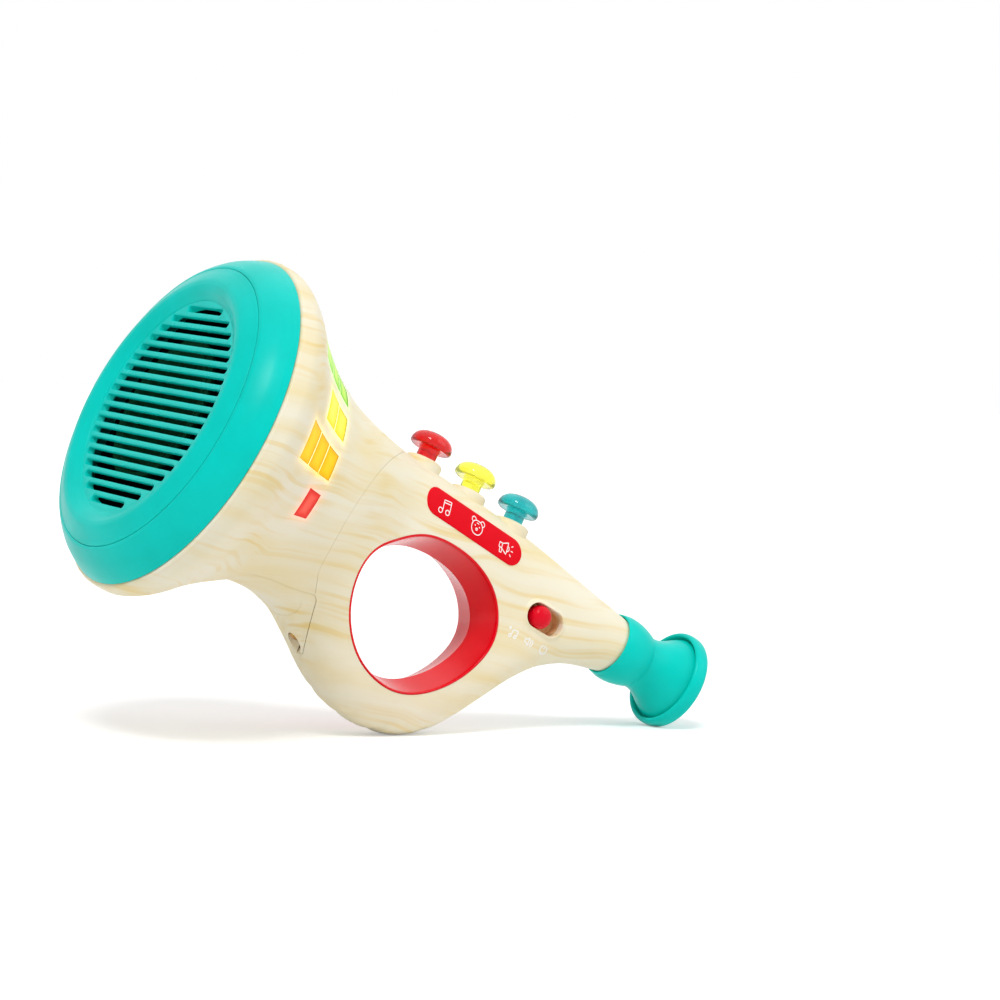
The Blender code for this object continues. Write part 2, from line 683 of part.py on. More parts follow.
# Valve buttons with their bosses, springs and contacts
for x, name, colour, rise in zip(BUTTON_X, BUTTON_NAMES, BUTTON_COLOURS, BOSS_RISES):
    top = body_top(x) + rise
    bore = STEM_RADIUS + GAP
    turned("valve_boss_" + name, [
        (bore, 0), (BOSS_RADIUS - BOSS_EASE, 0), (BOSS_RADIUS - BOSS_EASE * 0.3, -BOSS_EASE * 0.3),
        (BOSS_RADIUS, -BOSS_EASE), (BOSS_RADIUS, -BOSS_DEPTH), (bore, -BOSS_DEPTH),
    ], (WOOD, 0.45), (x, 0, top), "Z", 20)
    flange_top = -BOSS_DEPTH - GAP
    flange_low = flange_top - FLANGE_HEIGHT
    contact_top = board_top + GAP + CONTACT_HEIGHT
    foot = contact_top + BUTTON_TRAVEL + GAP - top
    dome = [(CAP_RADIUS * r, CAP_LIFT + CAP_HEIGHT * h) for r, h in CAP_FORM]
    turned("valve_button_" + name, dome + [
        (CAP_RADIUS - 0.9, CAP_LIFT), (STEM_RADIUS + 0.6, CAP_LIFT), (STEM_RADIUS, CAP_LIFT - 0.6),
        (STEM_RADIUS, flange_top), (FLANGE_RADIUS, flange_top), (FLANGE_RADIUS, flange_low),
        (FOOT_RADIUS, flange_low), (FOOT_RADIUS, foot), (0, foot),
    ], (colour, 0.12), (x, 0, top), "Z", 20, False)
    spring_high = flange_low - GAP
    spring_low = board_top + GAP - top
    turned("valve_spring_" + name, [
        (SPRING_RADIUS - SPRING_WIRE, spring_high), (SPRING_RADIUS, spring_high),
        (SPRING_RADIUS, spring_low), (SPRING_RADIUS - SPRING_WIRE, spring_low),
    ], (STEEL, 0.3, 1.0), (x, 0, top), "Z", 12)
    turned("valve_contact_" + name, [
        (0, CONTACT_HEIGHT), (CONTACT_RADIUS * 0.8, CONTACT_HEIGHT), (CONTACT_RADIUS, CONTACT_HEIGHT * 0.6),
        (CONTACT_RADIUS, 0), (0, 0),
    ], (DARK, 0.6), (x, 0, board_top + GAP), "Z", 12, False)

# Slide switch: knob in the slot, switch body behind the wall
dome = [(KNOB_RADIUS * math.sin(a), KNOB_PROUD * math.cos(a))
        for a in (math.radians(d) for d in (0, 22.5, 45, 67.5, 90))]
knob = turned("switch_knob", dome + [(KNOB_RADIUS, -KNOB_DEPTH), (0, -KNOB_DEPTH)], (RED, 0.25), along="Z",
              steps=20, closed=False)
knob.matrix_local = (switch_place @ Matrix.Translation((SWITCH_REST * MM, 0, 0))
                     @ Matrix.Rotation(math.pi / 2, 4, "X"))
reach = slot_length / 2 + SWITCH_WALL + GAP
height = slot_width / 2 + SWITCH_WALL + GAP
switch_body = at_switch(block("switch_body", (-reach, 0, -height),
                              (reach, SWITCH_FLOOR + SWITCH_WALL, height), (WOOD, 0.5)))
switch_room = body("switch_room", WALL + GAP, SWITCH_X - 20, SWITCH_X + 20, INNER_STATION, INNER_SEGMENTS)
boolean(switch_body, switch_room, "INTERSECT")
pocket = stadium((0, 0), slot_length + 2 * GAP, slot_width + 2 * GAP)
boolean(switch_body, at_switch(prism("switch_pocket", pocket, -WALL, SWITCH_FLOOR)))

# Battery door and its screw
door_hollow = body("door_hollow", DOOR_WALL, 24.0, 108.0, INNER_STATION, INNER_SEGMENTS)
boolean(door_hollow, rods("door_boss", [(DOOR_BOSS_RADIUS, on_screw(-9), on_screw(DOOR_BOSS_DEPTH))]))
door = block("battery_door", (DOOR_START, -DOOR_HALF_WIDTH, -WIDE), (WIDE * 1.5, DOOR_HALF_WIDTH, -15),
             (WOOD, 0.45))
door_hinge = Vector((DOOR_START, 0, body_bottom(DOOR_START))) * MM
door.data.transform(Matrix.Translation(-door_hinge))
door.location = door_hinge
boolean(door, outer, "INTERSECT")
boolean(door, door_hollow)
for label, low, high in (("left", -WIDE, -DOOR_BOSS_RADIUS - 2), ("right", DOOR_BOSS_RADIUS + 2, WIDE)):
    boolean(door, prism("door_trim_" + label, seam_outline(SEAM_GAP), low, high))
boolean(door, block("door_foot", (SEAM_FOOT[0] - SEAM_GAP, -WIDE, -WIDE), (BODY_END, WIDE, WIDE)))
boolean(door, rods("screw_recess", [(RECESS_RADIUS, on_screw(-9), on_screw(RECESS_DEPTH))]))
boolean(door, rods("screw_passage", [(SCREW_SHANK + 2 * GAP, on_screw(0), on_screw(9))], sides=16))
head_at = RECESS_DEPTH - GAP
door_screw = turned("door_screw", [
    (0, HEAD_HEIGHT), (HEAD_RADIUS * 0.7, HEAD_HEIGHT), (HEAD_RADIUS, HEAD_HEIGHT * 0.6), (HEAD_RADIUS, 0),
    (SCREW_SHANK, 0), (SCREW_SHANK, -5.0), (0, -6.0),
], (STEEL, 0.35, 1.0), on_screw(head_at), "Z", 12, False)
door_screw.rotation_euler = (-inward).to_track_quat("Z", "Y").to_euler()

# Battery box, cells and contacts
pocket_start = CELL_START - 2 * GAP - CONTACT_PLATE - GAP
pocket_end = CELL_START + CELL_LENGTH + 2 * GAP + CONTACT_PLATE + GAP
pocket_half = CELL_PITCH + CELL_RADIUS + 2 * GAP
ceiling = CELL_Z + CELL_RADIUS + GAP
box = block("battery_box", (pocket_start - BOX_WALL, -pocket_half - 3, -WIDE),
            (pocket_end + BOX_WALL, pocket_half + 3, ceiling + BOX_WALL), ((0.05, 0.05, 0.055), 0.6))
box_form = body("box_form", WALL + GAP, 24.0, 108.0, INNER_STATION, INNER_SEGMENTS)
boolean(box, box_form, "INTERSECT")
boolean(box, block("box_pocket", (pocket_start, -pocket_half, -2 * WIDE),
                   (pocket_end, pocket_half, ceiling)))
post_start = on_screw(DOOR_BOSS_DEPTH + 2 * GAP)
post_end = post_start + inward * POST_LENGTH
relief = DOOR_BOSS_RADIUS + GAP
boolean(box, block("box_relief", (post_start.x - relief, -relief, -WIDE),
                   (BODY_END, relief, post_start.z - GAP)))
rib = block("box_rib", (pocket_end + BOX_WALL / 2, -RIB_HALF_WIDTH, post_start.z + GAP),
            (post_start.x + 1, RIB_HALF_WIDTH, post_start.z + RIB_DEPTH))
tunnel_clear = hole_tube("tunnel_clear", LINER_WALL + 2 * GAP + TUNNEL_WALL, -WIDE / 2, WIDE / 2)
boolean(box, tunnel_clear)
boolean(rib, rods("box_post", [(POST_RADIUS, post_start, post_end)]), "UNION")
boolean(box, rib, "UNION")
boolean(box, rods("box_pilot", [(SCREW_SHANK + 2 * GAP, on_screw(0), on_screw(20))], sides=16))
for number in range(3):
    y = (number - 1) * CELL_PITCH
    nub = CELL_START + CELL_LENGTH
    turned("battery_cell_%d" % (number + 1), [
        (0, nub), (1.9, nub), (1.9, nub - 0.9), (CELL_RADIUS, nub - 0.9), (CELL_RADIUS, CELL_START),
        (0, CELL_START),
    ], ((0.15, 0.16, 0.18), 0.3, 0.6), (0, y, CELL_Z), "X", 16, False)
for name, x in (("contact_front", pocket_start + GAP), ("contact_rear", pocket_end - GAP - CONTACT_PLATE)):
    block("battery_" + name, (x, -CELL_PITCH - 4, CELL_Z - 4),
          (x + CONTACT_PLATE, CELL_PITCH + 4, CELL_Z + 4), (STEEL, 0.3, 1.0))

# Mouthpiece
start = BODY_END + GAP
end = start + COLLAR_LENGTH
turned("mouthpiece_collar", [
    (COLLAR_BORE, end), (COLLAR_END, end), (COLLAR_END + 0.1, end - 3.4), (COLLAR_END + 0.7, end - 4),
    (COLLAR_BULGE - 0.6, end - 7.8), (COLLAR_BULGE, end - 11.2), (COLLAR_BULGE, end - 14.2),
    (COLLAR_LIP, start - 1.1), (COLLAR_LIP, start - 1.5),
    (COLLAR_LIP - 0.7, start - 1.5), (COLLAR_LIP - 0.8, start), (SPIGOT_RADIUS, start),
    (SPIGOT_RADIUS, start - SPIGOT_LENGTH),
    (COLLAR_BORE, start - SPIGOT_LENGTH),
], (TEAL, 0.3), (0, 0, MOUTH_Z), steps=24)
base = end + GAP
tip = base + CUP_LENGTH
turned("mouthpiece_cup", [
    (RIM_INNER, tip), (RIM_RADIUS - 2.1, tip), (RIM_RADIUS - 0.8, tip - 0.6), (RIM_RADIUS, tip - 2.2),
    (RIM_RADIUS, tip - RIM_DEPTH + 2), (RIM_RADIUS - 0.5, tip - RIM_DEPTH + 0.4),
    (RIM_RADIUS - 1.3, tip - RIM_DEPTH), (RIM_RADIUS - 2, tip - RIM_DEPTH + 0.6),
    (RIM_RADIUS - 2.2, tip - RIM_DEPTH + 2.6), (RIM_RADIUS - 2.8, tip - RIM_DEPTH + 2.4),
    (RIM_RADIUS - 3.9, tip - RIM_DEPTH - 0.4),
    (CUP_NECK + 2.4, base + 7.3), (CUP_NECK + 0.7, base + 3.5), (CUP_NECK, base), (THROAT_RADIUS, base),
    (THROAT_RADIUS + 0.1, base + 2.2), (THROAT_RADIUS + 2.1, base + 5.7), (THROAT_RADIUS + 5, base + 9.7),
    (THROAT_RADIUS + 8, base + 13.7), (RIM_INNER - 1, tip - 1),
], (TEAL, 0.3), (0, 0, MOUTH_Z), steps=24)
turned("microphone", [
    (0, end - 2), (MIC_RADIUS, end - 2), (MIC_RADIUS, end - 2 - MIC_LENGTH), (0, end - 2 - MIC_LENGTH),
], (STEEL, 0.4, 0.8), (0, 0, MOUTH_Z), steps=20, closed=False)


def lowest(pitch, points):
    return min(z * math.cos(pitch) - x * math.sin(pitch) for x, z in points)


# The trumpet stands on its grip and on the rim of its mouthpiece
grip_points = [(x, body_bottom(x)) for x in range(60, 200)]
rim_points = [(tip - 2.2, MOUTH_Z - RIM_RADIUS), (tip - 0.6, MOUTH_Z - RIM_RADIUS + 0.8)]
low, high = math.radians(5), math.radians(60)
for _ in range(50):
    pitch = (low + high) / 2
    if lowest(pitch, rim_points) > lowest(pitch, grip_points):
        low = pitch
    else:
        high = pitch
stand.rotation_euler = (0, pitch, 0)
bpy.context.view_layer.update()
graph = bpy.context.evaluated_depsgraph_get()
corners = []
for piece in parts.objects:
    if piece.type == "MESH":
        shape = piece.evaluated_get(graph)
        corners += [shape.matrix_world @ vertex.co for vertex in shape.data.vertices]
middle_x = (min(p.x for p in corners) + max(p.x for p in corners)) / 2
stand.location = (-middle_x, 0, -min(p.z for p in corners))
bpy.context.view_layer.update()
print("pitch", round(math.degrees(pitch), 2), "stand", [round(v, 5) for v in stand.location])
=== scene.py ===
import math

import bmesh
import bpy
from mathutils import Matrix, Vector


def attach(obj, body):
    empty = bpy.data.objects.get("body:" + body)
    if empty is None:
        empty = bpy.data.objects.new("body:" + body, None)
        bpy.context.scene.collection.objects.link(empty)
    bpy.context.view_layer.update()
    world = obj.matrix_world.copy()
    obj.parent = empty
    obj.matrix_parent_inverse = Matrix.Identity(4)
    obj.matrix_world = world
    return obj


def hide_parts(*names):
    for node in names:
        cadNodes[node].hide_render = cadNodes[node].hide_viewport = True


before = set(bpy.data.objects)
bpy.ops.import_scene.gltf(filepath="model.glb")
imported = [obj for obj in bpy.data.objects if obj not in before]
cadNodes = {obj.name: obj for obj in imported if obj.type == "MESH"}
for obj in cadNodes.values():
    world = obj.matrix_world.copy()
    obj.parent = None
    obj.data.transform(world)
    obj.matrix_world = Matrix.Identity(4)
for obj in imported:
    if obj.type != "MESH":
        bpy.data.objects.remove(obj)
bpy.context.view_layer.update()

scene = bpy.context.scene
scene.view_settings.view_transform = "Standard"
print("frame loaded:", len(cadNodes), "nodes")

# shapes are drawn in millimetres along the trumpet's own axis, then stood on the floor
stand = {"pitch": 26.2756, "x": -98.48, "z": 115.82}
toWorld = (Matrix.Scale(0.001, 4) @ Matrix.Translation((stand["x"], 0, stand["z"]))
           @ Matrix.Rotation(math.radians(stand["pitch"]), 4, "Y"))

body = {
    "bell": ((0, 66.6), (6, 66.8), (12, 64.2), (22, 56.0), (34, 47.8), (46, 41.6)),
    "top": ((62, 36.2), (86, 32.5), (120, 31.2), (150, 29.1), (180, 25.6), (209, 21.9)),
    "bottom": ((56, -40.8), (68, -42.8), (80, -49.6), (92, -58.2), (104, -63.4), (118, -65.5), (130, -64.2),
               (140, -59.8), (150, -51.0), (160, -37.2), (170, -23.0), (180, -12.8), (194, -5.0), (209, -1.0)),
    "half": ((62, 35.4), (78, 27.6), (94, 21.0), (112, 18.6), (134, 15.7), (156, 13.0), (180, 12.2), (209, 11.5)),
    "square": ((0, 2.0), (50, 2.0), (100, 2.7), (150, 2.8), (185, 2.2), (209, 2.0)),
    "start": 0.3, "end": 209.0, "wall": 2.4, "endWall": 2.6, "edge": 1.3,
    "soften": 2.0, "softenFrom": 2.0, "softenOver": 8.0,
    "notches": (99.0, 111.5, 125.0, 144.0, 152.5), "notch": 0.45, "notchReach": 1.6,
}


def blendAt(points, x):  # smooth through (x, value) points, never past them
    xs = [p[0] for p in points]
    ys = [p[1] for p in points]
    if x <= xs[0]:
        return ys[0]
    if x >= xs[-1]:
        return ys[-1]
    k = max(i for i in range(len(xs) - 1) if xs[i] <= x)
    slopes = [(ys[i + 1] - ys[i]) / (xs[i + 1] - xs[i]) for i in range(len(xs) - 1)]

    def lean(i):
        if i == 0 or i == len(xs) - 1:
            return slopes[min(i, len(slopes) - 1)]
        if slopes[i - 1] * slopes[i] <= 0:
            return 0.0
        return 2 * slopes[i - 1] * slopes[i] / (slopes[i - 1] + slopes[i])

    h = xs[k + 1] - xs[k]
    t = (x - xs[k]) / h
    rise = t * t * (3 - 2 * t)
    bend = lean(k) * t * (1 - t) ** 2 - lean(k + 1) * t * t * (1 - t)
    return ys[k] + (ys[k + 1] - ys[k]) * rise + h * bend


knownSizes = {}


def softAt(kind, x):  # the body's line at x, its joins evened out a little
    key = (kind, round(x, 4))
    if key not in knownSizes:
        sign = -1 if kind == "bottom" else 1
        points = tuple((a, sign * r) for a, r in body["bell"]) + body[kind]
        d = body["soften"] * min(1.0, max(0.0, (x - body["softenFrom"]) / body["softenOver"]))
        size = (blendAt(points, x - d) + 2 * blendAt(points, x) + blendAt(points, x + d)) / 4
        if kind == "bottom":  # shallow finger lobes under the grip
            size += sum(body["notch"] * math.exp(-((x - at) / body["notchReach"]) ** 2) for at in body["notches"])
        knownSizes[key] = size
    return knownSizes[key]


def bellRadius(x):
    return softAt("top", x) if x < body["bell"][-1][0] else blendAt(body["bell"], x)


def squareAt(x):
    return blendAt(body["square"], x)


def section(x, inset, count):
    top, bottom = softAt("top", x), softAt("bottom", x)
    middle, height = (top + bottom) / 2, (top - bottom) / 2 - inset
    half = softAt("half", x) - inset
    power = 2 / squareAt(x)
    ring = []
    for i in range(count):
        angle = 2 * math.pi * (i + 0.5) / count
        y = math.copysign(abs(math.cos(angle)) ** power, math.cos(angle))
        z = math.copysign(abs(math.sin(angle)) ** power, math.sin(angle))
        ring.append((x, half * y, middle + height * z))
    return ring


def sideAt(x, z, inset=0.0):  # half width at a height
    top, bottom = softAt("top", x), softAt("bottom", x)
    middle, height = (top + bottom) / 2, (top - bottom) / 2 - inset
    power = squareAt(x)
    share = min(abs(z - middle) / height, 1.0)
    return (softAt("half", x) - inset) * (1 - share ** power) ** (1 / power)


def span(start, end, step):
    count = max(1, round((end - start) / step))
    return [start + (end - start) * i / count for i in range(count + 1)]


# mesh helpers
tools = []  # cutters, taken away at the end


def addMesh(name, bm):
    bmesh.ops.recalc_face_normals(bm, faces=bm.faces)
    mesh = bpy.data.meshes.new(name)
    bm.to_mesh(mesh)
    bm.free()
    made = bpy.data.objects.new(name, mesh)
    scene.collection.objects.link(made)
    return made


def loft(name, rings, around=False):  # around joins the last ring to the first
    bm = bmesh.new()
    rows = [[bm.verts.new(p) for p in ring] for ring in rings]
    pairs = list(zip(rows, rows[1:])) + ([(rows[-1], rows[0])] if around else [])
    for near, far in pairs:
        for i in range(len(near)):
            j = (i + 1) % len(near)
            bm.faces.new((near[i], near[j], far[j], far[i]))
    if not around:
        bm.faces.new(rows[0])
        bm.faces.new(rows[-1])
    return addMesh(name, bm)


def bodyForm(name, inset, xs, count):
    return loft(name, [section(x, inset, count) for x in xs])


def prism(name, outline, low, high):  # an (x, z) outline drawn across from one y to another
    return loft(name, [[(x, y, z) for x, z in outline] for y in (low, high)])


def upright(name, outline, low, high):  # an (x, y) outline drawn up from one z to another
    return loft(name, [[(x, y, z) for x, y in outline] for z in (low, high)])


def turned(name, profile, centre=(0, 0, 0), along="X", steps=96, closed=True):
    bm = bmesh.new()
    rows = []
    for radius, height in profile:
        row = []
        for i in range(steps if radius > 0.001 else 1):
            a, b = radius * math.cos(2 * math.pi * i / steps), radius * math.sin(2 * math.pi * i / steps)
            spot = {"X": (height, a, b), "Y": (a, height, b), "Z": (a, b, height)}[along]
            row.append(bm.verts.new(Vector(spot) + Vector(centre)))
        rows.append(row)
    for near, far in list(zip(rows, rows[1:])) + ([(rows[-1], rows[0])] if closed else []):
        for i in range(steps):
            j = (i + 1) % steps
            corners = [near[i % len(near)], near[j % len(near)], far[j % len(far)], far[i % len(far)]]
            bm.faces.new(list(dict.fromkeys(corners)))
    return addMesh(name, bm)


def eased(points, steps=6, closed=False):  # (a, b, setback) corners rounded by their setback
    out = []
    for k, point in enumerate(points):
        here = Vector(point[:2])
        ease = point[2] if len(point) > 2 else 0
        if ease <= 0 or (not closed and k in (0, len(points) - 1)):
            out.append(tuple(here))
            continue
        before = Vector(points[k - 1][:2]) - here
        after = Vector(points[(k + 1) % len(points)][:2]) - here
        start = here + before.normalized() * min(ease, before.length * 0.49)
        end = here + after.normalized() * min(ease, after.length * 0.49)
        for i in range(steps + 1):
            t = i / steps
            out.append(tuple(start * (1 - t) ** 2 + here * 2 * t * (1 - t) + end * t * t))
    return out


def between(a, b, c, d, t):  # a point from b to c on the smooth line that a and d lead
    return (b + (c - a) * t / 2 + (2 * a - 5 * b + 4 * c - d) * t * t / 2
            + (3 * b - a - 3 * c + d) * t ** 3 / 2)


def curveThrough(points, steps=6):  # a smooth open line through points
    out = []
    for k in range(len(points) - 1):
        b, c = Vector(points[k]), Vector(points[k + 1])
        a = Vector(points[k - 1]) if k else 2 * b - c
        d = Vector(points[k + 2]) if k + 2 < len(points) else 2 * c - b
        out += [tuple(between(a, b, c, d, i / steps)) for i in range(steps)]
    return out + [tuple(points[-1])]


def stepped(a, b, steps):  # even points from a towards b, without b
    return [(a[0] + (b[0] - a[0]) * i / steps, a[1] + (b[1] - a[1]) * i / steps) for i in range(steps)]


def stadium(centre, length, width, slope=0.0, steps=20):
    radius, turn = width / 2, math.radians(slope)
    reach = length / 2 - radius
    points = []
    for side in (1, -1):
        for i in range(steps + 1):
            angle = side * math.pi / 2 - math.pi * i / steps
            x, z = side * reach + radius * math.cos(angle), radius * math.sin(angle)
            points.append((centre[0] + x * math.cos(turn) - z * math.sin(turn),
                           centre[1] + x * math.sin(turn) + z * math.cos(turn)))
    return points


def rod(name, radius, start, end, sides=48):
    run = (Vector(end) - Vector(start)).normalized()
    side = run.orthogonal().normalized()
    other = run.cross(side)
    rings = []
    for spot in (start, end):
        rings.append([Vector(spot) + radius * (side * math.cos(2 * math.pi * i / sides)
                                               + other * math.sin(2 * math.pi * i / sides)) for i in range(sides)])
    return loft(name, rings)


def gather(bm, made):  # moves a made shape into a mesh of several
    bm.from_mesh(made.data)
    bpy.data.objects.remove(made)


def cut(target, cutter, operation="DIFFERENCE"):
    if cutter not in tools:
        tools.append(cutter)
    modifier = target.modifiers.new(cutter.name, "BOOLEAN")
    modifier.object = cutter
    modifier.operation = operation
    modifier.solver = "MANIFOLD"


def settle(target):  # turns the modifiers' result into the piece's own mesh
    bpy.context.view_layer.update()
    graph = bpy.context.evaluated_depsgraph_get()
    mesh = bpy.data.meshes.new_from_object(target.evaluated_get(graph))
    target.modifiers.clear()
    target.data = mesh
    if len(mesh.polygons) < 4:
        raise RuntimeError("nothing left of " + target.name)
    return target


def dress(piece, look, rides="trumpet", stands=(), sharp=40):
    piece.data.transform(toWorld)
    piece.data.shade_smooth()
    piece.data.set_sharp_from_angle(angle=math.radians(sharp))
    piece.data.materials.clear()
    piece.data.materials.append(look)
    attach(piece, rides)
    if stands:
        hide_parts(*stands)
    return piece


# looks
class Look:
    def __init__(self, name):
        self.made = bpy.data.materials.new(name)
        self.made.use_nodes = True
        self.tree = self.made.node_tree
        self.shader = self.tree.nodes["Principled BSDF"]

    def node(self, kind, **values):
        made = self.tree.nodes.new(kind)
        for key, value in values.items():
            if hasattr(made, key):
                setattr(made, key, value)
            else:
                made.inputs[key].default_value = value
        return made

    def link(self, start, end):
        self.tree.links.new(start, end)

    def set(self, **values):
        names = {"rough": "Roughness", "metal": "Metallic", "spec": "Specular IOR Level",
                 "clear": "Transmission Weight", "ior": "IOR", "glow": "Emission Color",
                 "glowStrength": "Emission Strength"}
        for key, value in values.items():
            self.shader.inputs[names[key]].default_value = value

    def feed(self, sockets, values):  # plain values are set, outputs are linked
        for socket, value in zip(sockets, values):
            if isinstance(value, (int, float, tuple)):
                socket.default_value = value
            else:
                self.link(value, socket)

    def grain(self, stretch, turn=0.0):  # object coordinates, turned and stretched, in metres
        spot = self.node("ShaderNodeTexCoord")
        mapped = self.node("ShaderNodeMapping", vector_type="TEXTURE")
        mapped.inputs["Rotation"].default_value = (0, math.radians(turn), 0)
        mapped.inputs["Scale"].default_value = stretch if isinstance(stretch, tuple) else (stretch,) * 3
        self.link(spot.outputs["Object"], mapped.inputs["Vector"])
        return mapped.outputs["Vector"]

    def noise(self, vector, detail=2.0, rough=0.5):
        made = self.node("ShaderNodeTexNoise", Scale=1.0, Detail=detail, Roughness=rough)
        self.link(vector, made.inputs["Vector"])
        return made.outputs["Fac"]

    def ramp(self, value, stops):
        made = self.node("ShaderNodeValToRGB")
        line = made.color_ramp
        while len(line.elements) < len(stops):
            line.elements.new(0.5)
        for element, (spot, colour) in zip(line.elements, stops):
            element.position = spot
            element.color = colour
        self.link(value, made.inputs["Fac"])
        return made.outputs["Color"]

    def colour(self, value, stops):
        self.link(self.ramp(value, stops), self.shader.inputs["Base Color"])

    def rough(self, value, first, last):
        self.link(self.ramp(value, ((0.3, grey(first)), (0.7, grey(last)))), self.shader.inputs["Roughness"])

    def maths(self, operation, a, b):
        made = self.node("ShaderNodeMath", operation=operation)
        self.feed(made.inputs, (a, b))
        return made.outputs[0]

    def vector(self, operation, *values):
        made = self.node("ShaderNodeVectorMath", operation=operation)
        self.feed(made.inputs, values)
        return made.outputs[0]

    def mix(self, factor, first, second):
        made = self.node("ShaderNodeMix", data_type="RGBA")
        self.feed([made.inputs[k] for k in (0, 6, 7)], (factor, first, second))  # factor and the two colours
        return made.outputs[2]

    def bump(self, height, strength, distance):
        made = self.node("ShaderNodeBump", Strength=strength, Distance=distance)
        self.link(height, made.inputs["Height"])
        self.link(made.outputs["Normal"], self.shader.inputs["Normal"])


def shade(red, green, blue):  # a screen colour, 0 to 255, as the shader takes it
    out = []
    for part in (red, green, blue):
        c = part / 255
        out.append(c / 12.92 if c <= 0.04045 else ((c + 0.055) / 1.055) ** 2.4)
    return (*out, 1)


def grey(level):
    return (level, level, level, 1)


def dim(colour, share):
    return (*(c * share for c in colour[:3]), 1)


woodPrint = {
    "pale": shade(247, 240, 217), "cream": shade(245, 235, 203), "warm": shade(244, 228, 180),
    "ochre": shade(238, 206, 112), "turn": 13.0, "sway": 0.02, "swayBy": (0, 9, 13),
    "bands": (0.007, 0.05, 0.10), "lines": (0.007, 0.05, 0.46), "fibres": (0.02, 0.3, 1.5),
    "patches": (0.016, 0.03, 0.045), "streaks": 0.66, "threads": 0.07, "spec": 0.3, "bump": (0.04, 0.0003),
}


def woodLook(name, glowing=False):
    look = Look(name)
    flow = look.grain(0.001, woodPrint["turn"])
    sway = look.node("ShaderNodeTexNoise", Scale=woodPrint["sway"], Detail=2.0)
    look.link(flow, sway.inputs["Vector"])
    bent = look.vector("MULTIPLY_ADD", sway.outputs["Color"], woodPrint["swayBy"], flow)
    bands = look.noise(look.vector("MULTIPLY", bent, woodPrint["bands"]))
    lines = look.noise(look.vector("MULTIPLY", bent, woodPrint["lines"]), 1.0)
    fibres = look.noise(look.vector("MULTIPLY", bent, woodPrint["fibres"]), 2.0, 0.6)
    patches = look.noise(look.vector("MULTIPLY", flow, woodPrint["patches"]))
    base = look.ramp(bands, ((0.36, woodPrint["pale"]), (0.52, woodPrint["cream"]), (0.70, woodPrint["warm"])))
    # thin streaks come in groups and fade out along the body
    streak = look.ramp(lines, ((0.53, grey(0)), (0.60, grey(0.5)), (0.72, grey(1))))
    group = look.ramp(patches, ((0.40, grey(0.08)), (0.62, grey(1))))
    strength = look.maths("MULTIPLY", look.maths("MULTIPLY", streak, group), woodPrint["streaks"])
    colour = look.mix(strength, base, woodPrint["ochre"])
    thread = look.ramp(fibres, ((0.50, grey(0)), (0.75, grey(1))))
    colour = look.mix(look.maths("MULTIPLY", thread, woodPrint["threads"]), colour, woodPrint["ochre"])
    look.link(colour, look.shader.inputs["Base Color"])
    look.rough(fibres, 0.42, 0.50)
    look.set(spec=woodPrint["spec"])
    look.bump(fibres, *woodPrint["bump"])
    if glowing:
        # painted glow: the skin gives off the window colours painted round the windows as emission
        halo = look.node("ShaderNodeAttribute", attribute_name="halo")
        look.link(halo.outputs["Color"], look.shader.inputs["Emission Color"])
        look.set(glowStrength=1.0)
    return look.made


mouldGrain = {"cloud": 0.02, "grit": 0.0006, "gritDepth": 0.0001}


def plasticLook(name, colour, deep, rough=0.32, spec=0.3, speckle=0.05):
    look = Look(name)
    cloud = look.noise(look.grain(mouldGrain["cloud"]), 3.0, 0.55)
    grit = look.noise(look.grain(mouldGrain["grit"]))
    look.colour(cloud, ((0.3, deep), (0.7, colour)))
    look.rough(cloud, rough + 0.05, rough - 0.03)
    look.set(spec=spec)
    look.bump(grit, speckle, mouldGrain["gritDepth"])
    return look.made


clearPlastic = {"cloud": 0.006, "clear": 0.82, "ior": 1.45, "spec": 0.5}


def clearLook(name, colour, deep):  # tinted see-through plastic
    look = Look(name)
    cloud = look.noise(look.grain(clearPlastic["cloud"]))
    look.colour(cloud, ((0.35, deep), (0.65, colour)))
    look.rough(cloud, 0.06, 0.03)
    look.set(clear=clearPlastic["clear"], ior=clearPlastic["ior"], spec=clearPlastic["spec"])
    return look.made


brushing = {"grain": (0.004, 0.0004, 0.004), "bump": (0.08, 0.0002)}


def metalLook(name, colour, rough=0.3):
    look = Look(name)
    brushed = look.noise(look.grain(brushing["grain"]), 3.0, 0.6)
    look.colour(brushed, ((0.3, dim(colour, 0.8)), (0.7, colour)))
    look.rough(brushed, rough + 0.1, rough)
    look.set(metal=1.0)
    look.bump(brushed, *brushing["bump"])
    return look.made


litPlastic = {"cloud": 0.004, "core": 0.8, "mottle": 0.25, "strength": 0.92, "rough": 0.25, "spec": 0.06}


def lightLook(name, colour, deep, hot):  # a lit window, brightest in its middle
    look = Look(name)
    core = look.node("ShaderNodeAttribute", attribute_name="core")
    cloud = look.noise(look.grain(litPlastic["cloud"]))
    lit = look.maths("ADD", look.maths("MULTIPLY", core.outputs["Fac"], litPlastic["core"]),
                     look.maths("MULTIPLY", cloud, litPlastic["mottle"]))
    tint = look.ramp(lit, ((0.05, deep), (0.45, colour), (0.95, hot)))
    look.link(tint, look.shader.inputs["Emission Color"])
    look.colour(cloud, ((0.3, dim(deep, 0.1)), (0.7, dim(deep, 0.16))))
    look.set(glowStrength=litPlastic["strength"], rough=litPlastic["rough"], spec=litPlastic["spec"])
    return look.made


